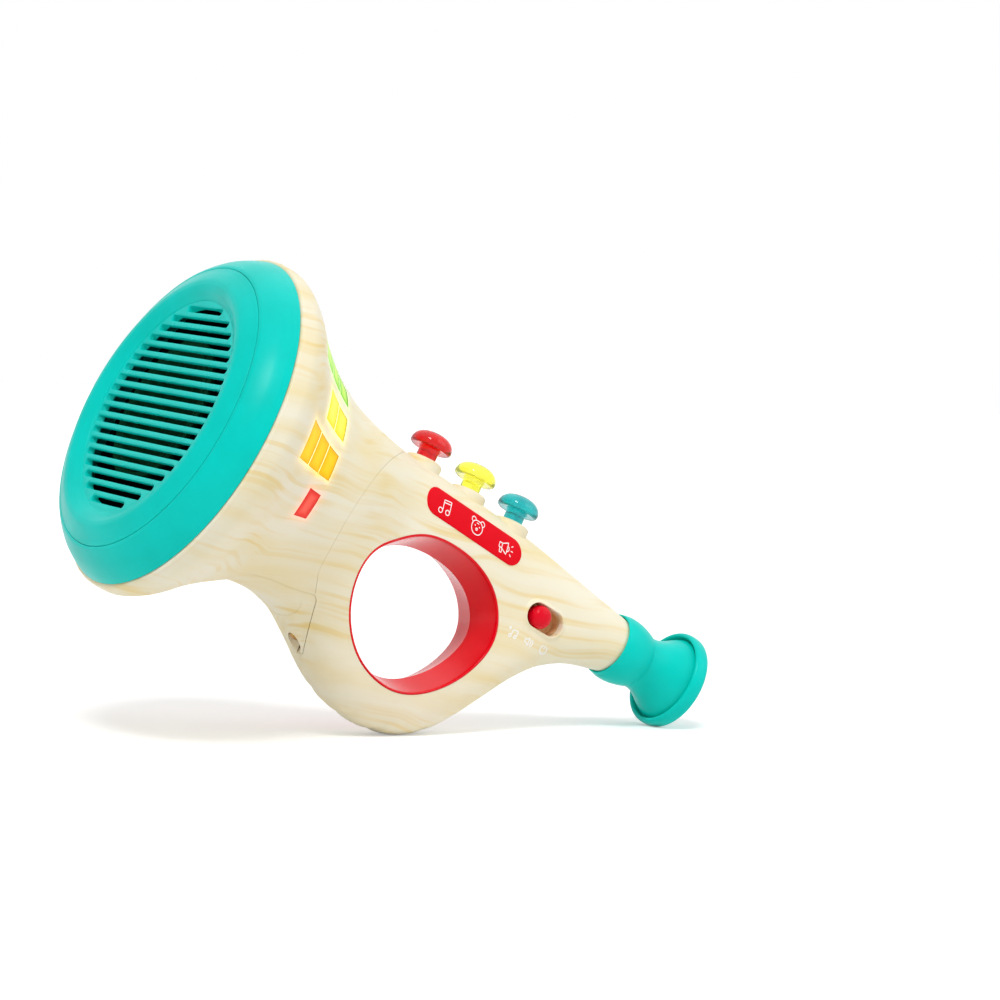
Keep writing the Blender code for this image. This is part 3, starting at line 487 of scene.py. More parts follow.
woodBell = woodLook("woodPrintBell", glowing=True)
woodHandle = woodLook("woodPrintHandle")
tealPlastic = plasticLook("tealPlastic", shade(0, 216, 205), shade(0, 207, 194), rough=0.3, spec=0.1)
redGloss = plasticLook("redGloss", shade(236, 0, 26), shade(226, 0, 20), rough=0.17, spec=0.2, speckle=0.02)
redPrint = plasticLook("redPrint", shade(238, 0, 28), shade(230, 0, 24), rough=0.4, spec=0.08)
redKnob = plasticLook("redKnob", shade(238, 0, 40), shade(228, 0, 34), rough=0.2, spec=0.16, speckle=0.02)
whitePrint = plasticLook("whitePrint", shade(255, 255, 254), shade(252, 251, 248), rough=0.45, spec=0.25)
darkPlastic = plasticLook("darkPlastic", shade(44, 44, 48), shade(34, 34, 38), rough=0.5)
# the switch housing's own tan, warmed towards red as a painted reflection of the red knob
switchTan = plasticLook("switchTan", shade(240, 200, 148), shade(230, 186, 130), rough=0.5, spec=0.15)
# painted shade: a near-black look standing in for the shade inside the body
paintedShade = plasticLook("paintedShade", shade(22, 22, 24), shade(14, 14, 16), rough=0.8, spec=0.05)
print("looks ready")

# bell, with the light windows round its flare
# front is an x and the columns' width there in degrees; each bar is a colour, its degrees from the top and its rows
lights = {
    "front": (18.2, 14.5), "narrowing": 0.08, "back": 40.5, "length": 7.0, "space": 0.65, "gap": 0.06,
    "cut": (-5, 3), "mesh": (14, 8), "breadth": 11, "thick": 1.6, "swell": 0.06, "swellOver": 0.5, "sunk": 0.04,
    # near, spread and the halo keys shape the painted glow on the skin round the windows
    "coreOver": 2.6, "near": (0.45, 0.8), "spread": (0.15, 2.8), "haloFrom": 8, "haloTo": 55, "haloReach": 9,
    # the wall keys pick the windows' side walls that get painted shade
    "wallFrom": 12, "wallTo": 46, "wallFacing": 0.5, "wallDepth": 0.15,
    "bars": (("red", 104.9, 1), ("orange", 84.6, 3), ("yellow", 64.4, 2), ("green", 44.2, 3), ("blue", 22.1, 2),
             ("violet", 0, 3)),
    "looks": {
        "red": (shade(240, 66, 56), shade(225, 40, 40), shade(252, 104, 86)),
        "orange": (shade(254, 204, 8), shade(251, 176, 0), shade(255, 218, 30)),
        "yellow": (shade(255, 242, 66), shade(252, 224, 30), shade(255, 250, 100)),
        "green": (shade(150, 220, 36), shade(112, 200, 16), shade(196, 240, 64)),
        "blue": (shade(50, 160, 240), shade(25, 125, 225), shade(130, 205, 255)),
        "violet": (shade(165, 95, 225), shade(135, 60, 205), shade(205, 155, 250)),
    },
}


def halfWidth(x):  # degrees either side of a column's middle
    return (lights["front"][1] - (x - lights["front"][0]) * lights["narrowing"]) / 2


def rowSpan(row):
    end = lights["back"] - row * (lights["length"] + lights["space"])
    return end - lights["length"], end


def eachColumn():
    for colour, centre, bars in lights["bars"]:
        for side, label in ((1, "Left"), (-1, "Right")) if centre else ((1, "Top"),):
            yield colour, label, side * centre, bars


def onBell(x, degrees, lift=0.0):  # degrees from the top towards the switch side
    r, angle = bellRadius(x) + lift, math.radians(degrees)
    return (x, -r * math.sin(angle), r * math.cos(angle))


seam = {"centre": (104.75, -10.0), "radius": 46.4, "headX": 89.0, "turnZ": -28.0, "corner": (67.4, -33.9),
        "foot": (69.5, -38.0), "gap": 0.09, "steps": 64}
wide = 80.0  # well past the body on every side


def seamOutline(gap):
    cx, cz = seam["centre"]
    first = math.pi + math.asin((cz - seam["turnZ"]) / seam["radius"])
    last = math.pi / 2 + math.asin((cx - seam["headX"]) / seam["radius"])
    reach = seam["radius"] + gap
    turn = (last - first) / seam["steps"]
    arc = [(cx + reach * math.cos(a), cz + reach * math.sin(a)) for a in span(first, last, turn)]
    (fx, fz), (kx, kz) = seam["foot"], seam["corner"]
    foot = [(fx - gap, -wide), (fx - gap, fz - gap), (kx - gap, kz - gap)]
    return foot + arc + [(arc[-1][0], wide), (body["end"] + wide, wide), (body["end"] + wide, -wide)]


door = {
    "start": (38.0, 16.0), "side": (58.0, 17.4), "corner": (68.8, 21.9), "rear": (84.4, 2.6),
    "ease": (0.8, 3.0, 3.0, 1.2), "wall": 2.0, "gap": 0.22, "roof": -15, "skin": (36, 100, 1.4), "sides": 176,
    "hollow": (24, 108, 3.0), "hollowSides": 96, "screwX": 80.6, "bossRadius": 4.6, "bossDepth": 5.0,
    "recess": 3.4, "recessDepth": 3.4, "shank": 1.85, "through": 9, "headGap": 0.3, "screwTip": 6.0,
    "thumb": ((66.2, -17.2), (68.0, -15.2), (69.6, -10.6), (70.2, -4.0), (70.2, 4.0), (69.6, 10.6), (68.0, 15.2),
              (66.2, 17.2)),
    "thumbRadius": 0.32, "thumbSunk": 0.12, "notch": 1.6, "notchStretch": 2.2, "notchLow": -70, "notchHigh": -40,
}


def doorPlan(gap):
    (ax, ay), (bx, by), (cx, cy), (dx, dy) = (door[key] for key in ("start", "side", "corner", "rear"))
    front, middle, corner, rear = door["ease"]
    half = eased([(ax - gap, 0), (ax - gap, -ay - gap, front), (bx, -by - gap, middle),
                  (cx + gap / 2, -cy - gap, corner), (dx + gap, -dy - gap / 2, rear), (dx + gap, 0)], 6)
    return half + [(x, -y) for x, y in reversed(half[1:-1])]


bell = {"runs": ((2.4, 14, 1.0), (14, 46, 0.7), (48, 108, 2.0)), "sides": 256, "hollow": (-12, 108, 3.0),
        "hollowSides": 96}
lipRun, flareRun, neckRun = (span(*run) for run in bell["runs"])
edgeRings = [section(body["start"] + body["edge"] * (1 - math.cos(a)), body["edge"] * (1 - math.sin(a)), bell["sides"])
             for a in span(0, math.pi / 2, math.pi / 12)]
bellSkin = loft("bellSkin", edgeRings + [section(x, 0.0, bell["sides"]) for x in lipRun[:-1] + flareRun + neckRun])
cut(bellSkin, bodyForm("bellHollow", body["wall"], span(*bell["hollow"]), bell["hollowSides"]))
cut(bellSkin, prism("handleSide", seamOutline(seam["gap"]), -wide, wide))
doorOpening = upright("doorOpening", doorPlan(door["gap"]), -wide, door["roof"])
cut(bellSkin, doorOpening)
windowTools = bmesh.new()
for colour, label, centre, bars in eachColumn():
    for row in range(bars):
        start, end = rowSpan(row)
        gap, (low, high) = lights["gap"], lights["cut"]
        corners = ((end + gap, low), (end + gap, high), (start - gap, high), (start - gap, low))
        rings = []
        for share in span(-1, 1, 0.25):
            rings.append([onBell(x, centre + share * (halfWidth(x) + math.degrees(gap / bellRadius(x))), lift)
                          for x, lift in corners])
        gather(windowTools, loft("window", rings))
cut(bellSkin, addMesh("windows", windowTools))
settle(bellSkin)


def paintHalo(piece):  # painted glow: window colours painted on the skin round the windows, in place of their light spreading through it
    halo = piece.data.attributes.new("halo", "FLOAT_COLOR", "POINT")
    for vertex in piece.data.vertices:
        x, y, z = vertex.co
        tint = Vector((0, 0, 0))
        if lights["haloFrom"] < x < lights["haloTo"]:
            spot, radius = math.degrees(math.atan2(-y, z)), math.hypot(y, z)
            for colour, label, centre, bars in eachColumn():
                turn = (spot - centre + 180) % 360 - 180
                across = max(0.0, abs(turn) - halfWidth(x)) * math.pi / 180 * radius
                if across > lights["haloReach"]:
                    continue
                for row in range(bars):
                    start, end = rowSpan(row)
                    far = math.hypot(across, max(0.0, start - x, x - end))
                    for power, reach in (lights["near"], lights["spread"]):
                        tint += Vector(lights["looks"][colour][0][:3]) * power * math.exp(-(far / reach) ** 2)
        halo.data[vertex.index].color = (*tint, 1)


def inwardFaces(piece, limit=-0.3):  # faces that look in at the body's middle line, and the windows' side walls, which get painted shade
    found = []
    for face in piece.data.polygons:
        x, y, z = face.center
        out = Vector((0, y, z - (softAt("top", x) + softAt("bottom", x)) / 2)).normalized()
        facing = face.normal.dot(out)
        wall = (lights["wallFrom"] < x < lights["wallTo"] and facing < lights["wallFacing"]
                and math.hypot(y, z) < bellRadius(x) - lights["wallDepth"])
        if facing < limit or wall:
            found.append(face.index)
    return found


# painted shade: gives the found faces the near-black look
def paintInsideShade(piece, faces):
    piece.data.materials.append(paintedShade)
    for index in faces:
        piece.data.polygons[index].material_index = 1


paintHalo(bellSkin)
inside = inwardFaces(bellSkin)
dress(bellSkin, woodBell, stands=("bell_shell",))
paintInsideShade(bellSkin, inside)
print("bell done")

for colour, label, centre, bars in eachColumn():
    bm = bmesh.new()
    core = bm.verts.layers.float.new("core")
    across, along = lights["mesh"]
    for row in range(bars):
        start, end = rowSpan(row)
        rows = []
        for i in range(-1, along + 2):
            line = []
            for k in range(-1, across + 2):
                u, v = min(max(i / along, 0), 1), min(max(k / across, 0), 1)
                inner = min(min(u, 1 - u) * lights["length"], min(v, 1 - v) * lights["breadth"])
                lift = lights["swell"] * min(1.0, inner / lights["swellOver"]) - lights["sunk"]
                if i < 0 or k < 0 or i > along or k > across:  # the rim goes down into the skin
                    lift = -lights["thick"]
                x = start + (end - start) * u
                vertex = bm.verts.new(onBell(x, centre + halfWidth(x) * (2 * v - 1), lift))
                vertex[core] = min(1.0, inner / lights["coreOver"])
                line.append(vertex)
            rows.append(line)
        for near, far in zip(rows, rows[1:]):
            for k in range(len(near) - 1):
                bm.faces.new((near[k], near[k + 1], far[k + 1], far[k]))
        bmesh.ops.holes_fill(bm, edges=[edge for edge in bm.edges if edge.is_boundary], sides=0)
    name = colour + "Light"
    column = addMesh(name + label, bm)
    look = bpy.data.materials.get(name) or lightLook(name, *lights["looks"][colour])
    # painted shade on the bars' sunk sides and undersides
    inside = inwardFaces(column, 0.6)
    dress(column, look, stands=("light_strip_%s_%s" % (colour, label.lower()),), sharp=60)
    paintInsideShade(column, inside)
print("light windows done")

# handle halves, with the hole for the hand
hole = {
    "points": ((84.5, -16.8), (92.6, -6.4), (106.1, 2.6), (126.1, 3.7), (141.1, -2.9), (147.5, -16.1),
               (139.2, -33.4), (122, -45.5), (103, -43.3), (88.8, -30.8)),
    "draft": 0.244, "wall": 0.95, "gap": 0.03, "tunnel": 2.6, "samples": 14, "easing": 14,
}


def holeLoop():
    points = [Vector(point) for point in hole["points"]]
    loop = []
    for k in range(len(points)):
        ends = [points[(k + j) % len(points)] for j in (-1, 0, 1, 2)]
        loop += [between(*ends, i / hole["samples"]) for i in range(hole["samples"])]
    for _ in range(hole["easing"]):  # eases the joins between the points
        loop = [(loop[i - 1] + 2 * p + loop[(i + 1) % len(loop)]) / 4 for i, p in enumerate(loop)]
    out = []
    for i, point in enumerate(loop):
        run = (loop[(i + 1) % len(loop)] - loop[i - 1]).normalized()
        out.append((point, Vector((-run.y, run.x))))
    return out


holeEdge = holeLoop()


def grown(edge, offset, y):  # the hole's edge moved out, more of it towards the sides
    point, out = edge
    grow = offset + hole["draft"] * abs(y)
    return point.x + out.x * grow, point.y + out.y * grow


def holeTube(name, offset):
    rings = []
    for y in (-wide / 2, 0.0, wide / 2):
        spots = [grown(edge, offset, y) for edge in holeEdge]
        rings.append([(x, y, z) for x, z in spots])
    return loft(name, rings)


buttons = {
    "x": {"red": 98.0, "yellow": 121.3, "teal": 144.6}, "rise": {"red": 2.7, "yellow": 2.05, "teal": 1.95},
    "bossRadius": 7.4, "bossEase": 1.5, "bossDepth": 8.0, "bossFit": 0.05, "holeReach": 12, "boreEase": 0.3,
    "capRadius": 8.25, "capHeight": 6.45, "capLift": 4.5,
    "capForm": ((0, 1), (0.24, 0.985), (0.51, 0.92), (0.74, 0.79), (0.9, 0.6), (0.985, 0.38), (1, 0.2), (0.97, 0.07),
                (0.91, 0.015)),
    "under": ((7.2, 0.0, 0.3), (4.4, 0.2, 0.5)), "neck": (0.9, 0.6), "stem": 3.9, "gap": 0.12,
    "flange": 5.4, "flangeHeight": 1.4, "flangeGap": 0.3, "flangeEase": 0.2, "foot": 2.3, "footLength": 2.4,
    "tints": {"red": (shade(238, 8, 5), shade(216, 0, 3)), "yellow": (shade(255, 253, 96), shade(252, 248, 56)),
              "teal": (shade(4, 196, 196), shade(0, 172, 176))},
}
plate = {"centre": (122.0, 19.6), "length": 51.9, "width": 10.5, "slope": -1.0, "proud": 0.35, "sunk": 0.9, "gap": 0.06,
         "edge": ((0.0, 0.16), (0.08, 0.28)), "rows": (0.3, 1.2, 2.4, 3.6, 4.7), "turns": 28, "step": 3.0,
         "roomInner": -5.0, "floor": (78, 162, 2.0), "floorSides": 160}
# the slot's forms are (grow, depth) rings, the knob's are (radius, depth)
switch = {
    "x": 168.5, "z": 3.0, "turnOver": 8, "travel": 8.0, "rest": -2.0, "radius": 4.5, "gap": 0.25,
    "lipForm": ((2.0, 1.2), (1.7, 0.1), (1.3, -0.2), (0.8, -0.48), (0.3, -0.7), (-0.6, -0.7)),
    "slotForm": ((1.2, -2.0), (0.5, -0.7), (0.2, -0.55), (0.05, -0.2), (0.0, 0.3), (0.0, 5.0)),
    "dome": ((0, -2.9), (1.6, -2.78), (2.9, -2.35), (3.8, -1.6), (4.35, -0.6), (4.5, 0.4)),
    "foot": ((4.5, 1.6), (3.9, 1.7), (3.9, 5.4), (0, 5.4)),
}
screws = {"sites": ((84.5, 21.5), (113.0, -59.0), (152.5, -32.0), (184.0, 8.5)), "head": 2.7, "headHeight": 2.0,
          "shank": 1.25, "length": 9.0, "seat": 3.0, "gap": 0.3, "post": 3.4, "pilot": (-10, 4), "cross": (1.5, 0.28)}
mouth = {"z": 10.45, "spigot": 7.6, "gap": 0.3, "hole": (200, 216)}
handle = {"start": 48, "step": 1.6, "sides": 176, "hollowStart": -12, "hollowStep": 3.0, "hollowSides": 96}

holeOuter = holeTube("holeOuter", hole["wall"] + hole["gap"])
hollowRun = span(handle["hollowStart"], body["end"] - body["endWall"], handle["hollowStep"])
hollow = bodyForm("hollow", body["wall"], hollowRun, handle["hollowSides"])
cut(hollow, holeTube("tunnel", hole["wall"] + hole["gap"] + hole["tunnel"]))
for k, (x, z) in enumerate(screws["sites"]):
    cut(hollow, rod("post%d" % k, screws["post"], (x, -wide, z), (x, wide, z)))
settle(hollow)

narrowing = softAt("half", switch["x"] - switch["turnOver"]) - softAt("half", switch["x"] + switch["turnOver"])
switchPlace = (Matrix.Translation((switch["x"], -sideAt(switch["x"], switch["z"]), switch["z"]))
               @ Matrix.Rotation(math.atan(narrowing / (2 * switch["turnOver"])), 4, "Z"))


def slotShape(name, form):  # the slot's outline, grown by so much at each depth
    width = 2 * (switch["radius"] + switch["gap"])
    rings = []
    for grow, y in form:
        outline = stadium((0, 0), switch["travel"] + width + 2 * grow, width + 2 * grow)
        rings.append([(x, y, z) for x, z in outline])
    made = loft(name, rings)
    made.data.transform(switchPlace)
    return made


switchLip = slotShape("switchLip", switch["lipForm"])
switchSlot = slotShape("switchSlot", switch["slotForm"])
roomLength, roomWidth = (plate[key] + 2 * plate["gap"] for key in ("length", "width"))
plateRoom = prism("plateRoom", stadium(plate["centre"], roomLength, roomWidth, plate["slope"]), -wide / 2,
                  plate["roomInner"])
cut(plateRoom, bodyForm("plateFloor", plate["sunk"], span(*plate["floor"]), plate["floorSides"]))
settle(plateRoom)

holes, seats = [], []
for name, x in buttons["x"].items():
    top = softAt("top", x)
    holes.append(rod("bossHole" + name, buttons["bossRadius"] + buttons["bossFit"], (x, 0, top - buttons["holeReach"]),
                     (x, 0, top + buttons["holeReach"]), 64))
holes.append(rod("endHole", mouth["spigot"] + mouth["gap"], *((x, 0, mouth["z"]) for x in mouth["hole"])))
for k, (x, z) in enumerate(screws["sites"]):
    holes.append(rod("pilot%d" % k, screws["shank"] + screws["gap"], *((x, y, z) for y in screws["pilot"]), 24))
    seats.append(rod("seat%d" % k, screws["head"] + screws["gap"], (x, screws["seat"], z), (x, wide, z)))

for side, low, high in (("Left", -wide, -seam["gap"] / 2), ("Right", seam["gap"] / 2, wide)):
    shell = bodyForm("handleSkin" + side, 0.0, span(handle["start"], body["end"], handle["step"]), handle["sides"])
    cut(shell, prism("handle" + side, seamOutline(0.0), low, high), "INTERSECT")
    if side == "Left":
        cut(shell, switchLip, "UNION")
    for cutter in [doorOpening, holeOuter, hollow] + holes + ([plateRoom, switchSlot] if side == "Left" else seats):
        cut(shell, cutter)
    settle(shell)
    dress(shell, woodHandle, stands=(side.lower() + "_shell",))
print("handle done")

# glossy lining of the hole, in two halves that meet on the middle plane
liner = {"proud": 0.1, "edge": 0.35, "seam": 0.06, "rows": 16, "guess": 14.0, "tries": 30, "back": 0.6,
         "innerTurn": (25, 50, 75, 90), "outerTurn": (90, 60, 30, 0)}


def sideReach(edge, offset):  # the width at which the hole comes out of the side
    y = liner["guess"]
    for _ in range(liner["tries"]):
        y = (y + sideAt(*grown(edge, offset, y))) / 2
    return y


for side, sign in (("Left", -1), ("Right", 1)):
    rings = []
    for edge in holeEdge:
        wall, ease = hole["wall"], liner["edge"]
        inner, outer = (sideReach(edge, offset) + liner["proud"] for offset in (0.0, wall))
        pairs = [(0.0, y) for y in span(liner["seam"], inner - ease, (inner - ease) / liner["rows"])]
        for turns, start, way, end in ((liner["innerTurn"], 0.0, 1, inner), (liner["outerTurn"], wall, -1, outer)):
            for a in turns:
                s, c = math.sin(math.radians(a)), math.cos(math.radians(a))
                pairs.append((start + way * ease * (1 - c), end - ease + ease * s))
        pairs += [(wall, outer * liner["back"]), (wall, liner["seam"])]
        spots = [(grown(edge, offset, y), sign * y) for offset, y in pairs]
        rings.append([(x, y, z) for (x, z), y in spots])
    lining = loft("holeLining" + side, rings, around=True)
    dress(lining, redGloss, stands=("handle_liner_" + side.lower(),), sharp=50)
print("hole lining done")

# domed ring round the bell's mouth, the crown inside it and its slotted grille
ring = {
    "steps": 224, "spigot": ((63.8, 5.5), (63.8, 0.0)),
    "outside": ((65.4, 0.0), (64.75, -1.5), (64.0, -3.0), (62.2, -6.0), (60.1, -8.5), (57.9, -10.6), (57.0, -11.2)),
    "edge": ((57.0, -11.2), (56.15, -11.35, 0.4), (56.1, -10.4)),
    "inside": ((56.1, -7.1), (58.2, -7.1), (60.5, -3.0), (62.4, 0.0), (62.4, 5.5)),
}
profile = [*ring["spigot"], *curveThrough(ring["outside"], 5), *eased(ring["edge"], 5)[1:], *ring["inside"]]
dress(turned("mouthRing", profile, steps=ring["steps"]), tealPlastic, stands=("bell_ring",))

grille = {
    "radius": 42.7, "front": -11.7, "back": -9.3, "slots": 19, "pitch": 4.3, "width": 2.5, "rim": 0.6, "ease": 0.22,
    "over": 0.25, "past": 1.0, "turn": 2.7,
    "behind": ((53.4, -7.1), (53.6, -5.3), (57.8, -5.3), (57.8, -6.8), (56.04, -6.8), (56.04, -11.0)),
    "lip": ((56.04, -11.0), (56.04, -11.5, 0.3), (55.5, -11.75)),
    "dome": ((55.5, -11.75), (54.2, -12.4), (52.8, -13.2), (50.8, -14.2), (49.6, -14.62), (48.6, -14.7),
             (47.6, -14.62), (45.7, -13.85), (44.3, -12.95), (43.5, -12.45)),
    "step": ((43.5, -12.45), (42.8, -12.05, 0.3), (42.7, -11.7, 0.15), (41.5, -11.7)),
    "bowl": ((0, -12.2), (42.5, -12.2), (42.3, -11.7), (39.2, -8.1), (0, -8.1)),
}
front, back, ease, over = (grille[key] for key in ("front", "back", "ease", "over"))
profile = [(0, back), (grille["radius"], back), *grille["behind"], *eased(grille["lip"], 4)[1:-1],
           *curveThrough(grille["dome"]), *eased(grille["step"], 5)[1:], (0, front)]
crown = turned("grilleCrown", profile, steps=ring["steps"], closed=False)
slotTools = bmesh.new()
for k in range(grille["slots"]):
    z = (k - (grille["slots"] - 1) / 2) * grille["pitch"]
    reach = math.sqrt((grille["radius"] - grille["rim"]) ** 2 - (abs(z) + grille["width"] / 2) ** 2)
    rings = []
    for x, grow in ((front - over, ease + over), (front + ease, 0.0), (back + grille["past"], 0.0)):
        outline = stadium((0, z), 2 * reach + 2 * grow, grille["width"] + 2 * grow, steps=8)
        rings.append([(x, y, h) for y, h in outline])
    gather(slotTools, loft("slot", rings))
slots = addMesh("grilleSlots", slotTools)
slots.data.transform(Matrix.Rotation(math.radians(grille["turn"]), 4, "X"))
cut(slots, turned("slotBowl", grille["bowl"], steps=ring["steps"], closed=False), "INTERSECT")
cut(crown, settle(slots))
settle(crown)
dress(crown, tealPlastic, stands=("speaker_grille",), sharp=50)
print("ring and grille done")

# valve buttons on their stepped bosses
for name, x in buttons["x"].items():
    place = (x, 0, softAt("top", x) + buttons["rise"][name])
    low, stem, flange, foot = (buttons[key] for key in ("capLift", "stem", "flange", "foot"))
    bore, reach, depth = stem + buttons["gap"], buttons["bossRadius"], -buttons["bossDepth"]
    outline = eased([(bore, depth), (bore, 0, buttons["boreEase"]), (reach, 0, buttons["bossEase"]), (reach, depth)], 8)
    dress(turned("boss" + name.capitalize(), outline, place, "Z"), woodHandle, stands=("valve_boss_" + name,))
    cap = curveThrough([(buttons["capRadius"] * r, low + buttons["capHeight"] * h) for r, h in buttons["capForm"]])
    neck, neckEase = buttons["neck"]
    ease, flangeTop = buttons["flangeEase"], depth - buttons["flangeGap"]
    flangeLow = flangeTop - buttons["flangeHeight"]
    end = flangeLow - buttons["footLength"]
    tail = eased([cap[-1], *((r, low + h, bend) for r, h, bend in buttons["under"]), (stem, low - neck, neckEase),
                  (stem, flangeTop, ease), (flange, flangeTop, ease), (flange, flangeLow, ease),
                  (foot, flangeLow, ease), (foot, end), (0, end)], 5)
    button = turned("button" + name.capitalize(), cap + tail[1:], place, "Z", closed=False)
    dress(button, clearLook("clear" + name.capitalize(), *buttons["tints"][name]), rides="button_" + name,
          stands=("valve_button_" + name,))
print("buttons done")

# red label plate on the side and the line icons on it
rings = []
plateRows = [(0.0, -plate["sunk"]), *plate["edge"], *((inset, plate["proud"]) for inset in plate["rows"])]
for inset, proud in plateRows:
    outline = stadium(plate["centre"], plate["length"] - 2 * inset, plate["width"] - 2 * inset, plate["slope"],
                      plate["turns"])
    dense = []
    for a, b in zip(outline, outline[1:] + outline[:1]):
        run = math.dist(a, b) / plate["step"]
        dense += stepped(a, b, round(run) if run > 2 else 1)
    rings.append([(x, -(sideAt(x, z) + proud), z) for x, z in dense])
dress(loft("labelPlate", rings), redPrint, stands=("icon_plate",))


def circle(cx, cy, r, start=0, end=360, steps=20):
    return [(cx + r * math.cos(math.radians(a)), cy + r * math.sin(math.radians(a)))
            for a in span(start, end, (end - start) / steps)]


inkStep, inkFlat = 0.3, 0.2  # short steps follow the curved side, and the line is pressed flat


def printed(name, strokes, width, centre, slope, lift, size=1.0):
    curve = bpy.data.curves.new(name, "CURVE")
    curve.dimensions = "3D"
    curve.bevel_depth = width / 2
    curve.bevel_resolution = 2
    curve.use_fill_caps = True
    for stroke in strokes:
        closed = math.dist(stroke[0], stroke[-1]) < 0.001
        points = []
        for a, b in zip(stroke, stroke[1:]):
            points += stepped(a, b, max(1, round(math.dist(a, b) / inkStep)))
        points += [] if closed else [stroke[-1]]
        spline = curve.splines.new("POLY")
        spline.points.add(len(points) - 1)
        spline.use_cyclic_u = closed
        for spot, (u, v) in zip(spline.points, points):
            spot.co = (u * size, v * size, 0, 1)
    shape = bpy.data.objects.new(name + "Line", curve)
    scene.collection.objects.link(shape)
    bpy.context.view_layer.update()
    mesh = bpy.data.meshes.new_from_object(shape.evaluated_get(bpy.context.evaluated_depsgraph_get()))
    bpy.data.objects.remove(shape)
    turn = math.radians(slope)
    for vertex in mesh.vertices:
        u, v, h = vertex.co
        x = centre[0] + u * math.cos(turn) - v * math.sin(turn)
        z = centre[1] + u * math.sin(turn) + v * math.cos(turn)
        vertex.co = (x, -(sideAt(x, z) + lift + h * inkFlat), z)
    made = bpy.data.objects.new(name, mesh)
    scene.collection.objects.link(made)
    return dress(made, whitePrint, sharp=60)


icons = {"width": 0.38, "lift": 0.36, "slope": -1.0, "size": {"note": 1.14, "horn": 1.25},
         "note": (105.6, 19.9), "bear": (123.0, 19.9), "horn": (139.0, 19.2)}
note = [circle(-1.7, -2.0, 0.85), circle(1.45, -1.55, 0.85), [(-0.85, -1.9), (-0.85, 2.0), (2.3, 2.5), (2.3, -1.5)],
        [(-0.85, 1.1), (2.3, 1.6)]]
head = [(0, 2.45), (1.2, 2.3), (2.3, 1.5), (2.8, 0.2), (2.7, -1.1), (1.9, -2.3), (0.7, -2.85)]
face = head + [(-x, y) for x, y in reversed(head)]
face = curveThrough(face + [face[0]], 4)
bear = [face, circle(-2.35, 2.2, 1.05, 10, 255, 14), circle(2.35, 2.2, 1.05, 170, -75, 14), circle(-1.15, 0.35, 0.1),
        circle(1.15, 0.35, 0.1), circle(0, -0.85, 0.42), [(-0.6, 1.5), (0.6, 1.5)]]
horn = [[(-2.6, 0.7), (-1.4, 0.7), (0.9, 1.9), (0.9, -1.9), (-1.4, -0.8), (-2.6, -0.8), (-2.6, 0.7)],
        [(-1.4, 0.7), (-1.4, -0.8)], [(-2.2, -0.8), (-1.9, -2.2), (-1.1, -2.2), (-1.2, -0.95)],
        circle(0.9, 0, 0.8, -80, 80, 10), [(2.3, 1.2), (3.0, 1.7)], [(2.5, 0), (3.4, 0)], [(2.3, -1.2), (3.0, -1.7)]]
for name, strokes in (("note", note), ("bear", bear), ("horn", horn)):
    printed(name + "Icon", strokes, icons["width"], icons[name], icons["slope"], icons["lift"],
            icons["size"].get(name, 1.0))

signs = {"width": 0.5, "lift": 0.04, "power": (174.4, -7.2), "sound": (166.0, -7.6), "play": (158.2, -7.9)}
power = [circle(0, 0, 1.7, 120, 420, 22), [(0, 0.3), (0, 2.0)]]
sound = [[(-1.9, 0.6), (-1.0, 0.6), (0.1, 1.6), (0.1, -1.6), (-1.0, -0.6), (-1.9, -0.6), (-1.9, 0.6)],
         circle(0.1, 0, 1.1, -55, 55, 8), circle(0.1, 0, 2.0, -50, 50, 10)]
play = [circle(-1.5, -1.2, 0.55), circle(1.0, -0.9, 0.55), [(-0.95, -1.1), (-0.95, 1.3), (1.55, 1.7), (1.55, -0.8)],
        circle(-2.6, 1.4, 0.35)]
for name, strokes in (("power", power), ("sound", sound), ("play", play)):
    printed(name + "Sign", strokes, signs["width"], signs[name], 0.0, signs["lift"])
print("label done")

# slide switch
knob = turned("switchDome", [*curveThrough(switch["dome"]), *switch["foot"]], (switch["rest"], 0, 0), "Y", 72,
              closed=False)
knob.data.transform(switchPlace)
dress(knob, redKnob, rides="switch", stands=("switch_knob",))
print("switch done")

# battery door, with a scoop for its screw
screwPoint = Vector((door["screwX"], 0, softAt("bottom", door["screwX"])))
upward = Vector((0, 0, 1))
below, above = screwPoint - upward * door["through"], screwPoint + upward * door["through"]
doorSkin = bodyForm("doorSkin", 0.0, span(*door["skin"]), door["sides"])
cut(doorSkin, upright("doorEdge", doorPlan(0.0), -wide, door["roof"]), "INTERSECT")
doorHollow = bodyForm("doorHollow", door["wall"], span(*door["hollow"]), door["hollowSides"])
cut(doorHollow, rod("doorBoss", door["bossRadius"], below, screwPoint + upward * door["bossDepth"]))
cut(doorSkin, settle(doorHollow))
cut(doorSkin, rod("screwScoop", door["recess"], below, screwPoint + upward * door["recessDepth"]))
cut(doorSkin, rod("screwWay", door["shank"], screwPoint, above))


def underAt(x, y):  # the body's lower side at a width
    top, bottom = softAt("top", x), softAt("bottom", x)
    power = squareAt(x)
    share = min(abs(y) / softAt("half", x), 1.0)
    return (top + bottom) / 2 - (top - bottom) / 2 * (1 - share ** power) ** (1 / power)


thumb = curveThrough(door["thumb"], 5)
rings = []
for k, (x, y) in enumerate(thumb):
    a, b = thumb[max(k - 1, 0)], thumb[min(k + 1, len(thumb) - 1)]
    across = Vector((b[1] - a[1], a[0] - b[0], 0)).normalized()
    spot = Vector((x, y, underAt(x, y) - door["thumbSunk"]))
    rings.append([spot + door["thumbRadius"] * (across * math.cos(t) + upward * math.sin(t))
                  for t in span(0, 1.75 * math.pi, math.pi / 4)])
cut(doorSkin, loft("thumbLine", rings))
notch = stadium((door["rear"][0], 0), door["notch"], door["notch"], steps=8)
cut(doorSkin, upright("doorNotch", [(x, y * door["notchStretch"]) for x, y in notch], door["notchLow"],
                      door["notchHigh"]))
settle(doorSkin)
dress(doorSkin, woodHandle, rides="door", stands=("battery_door",))


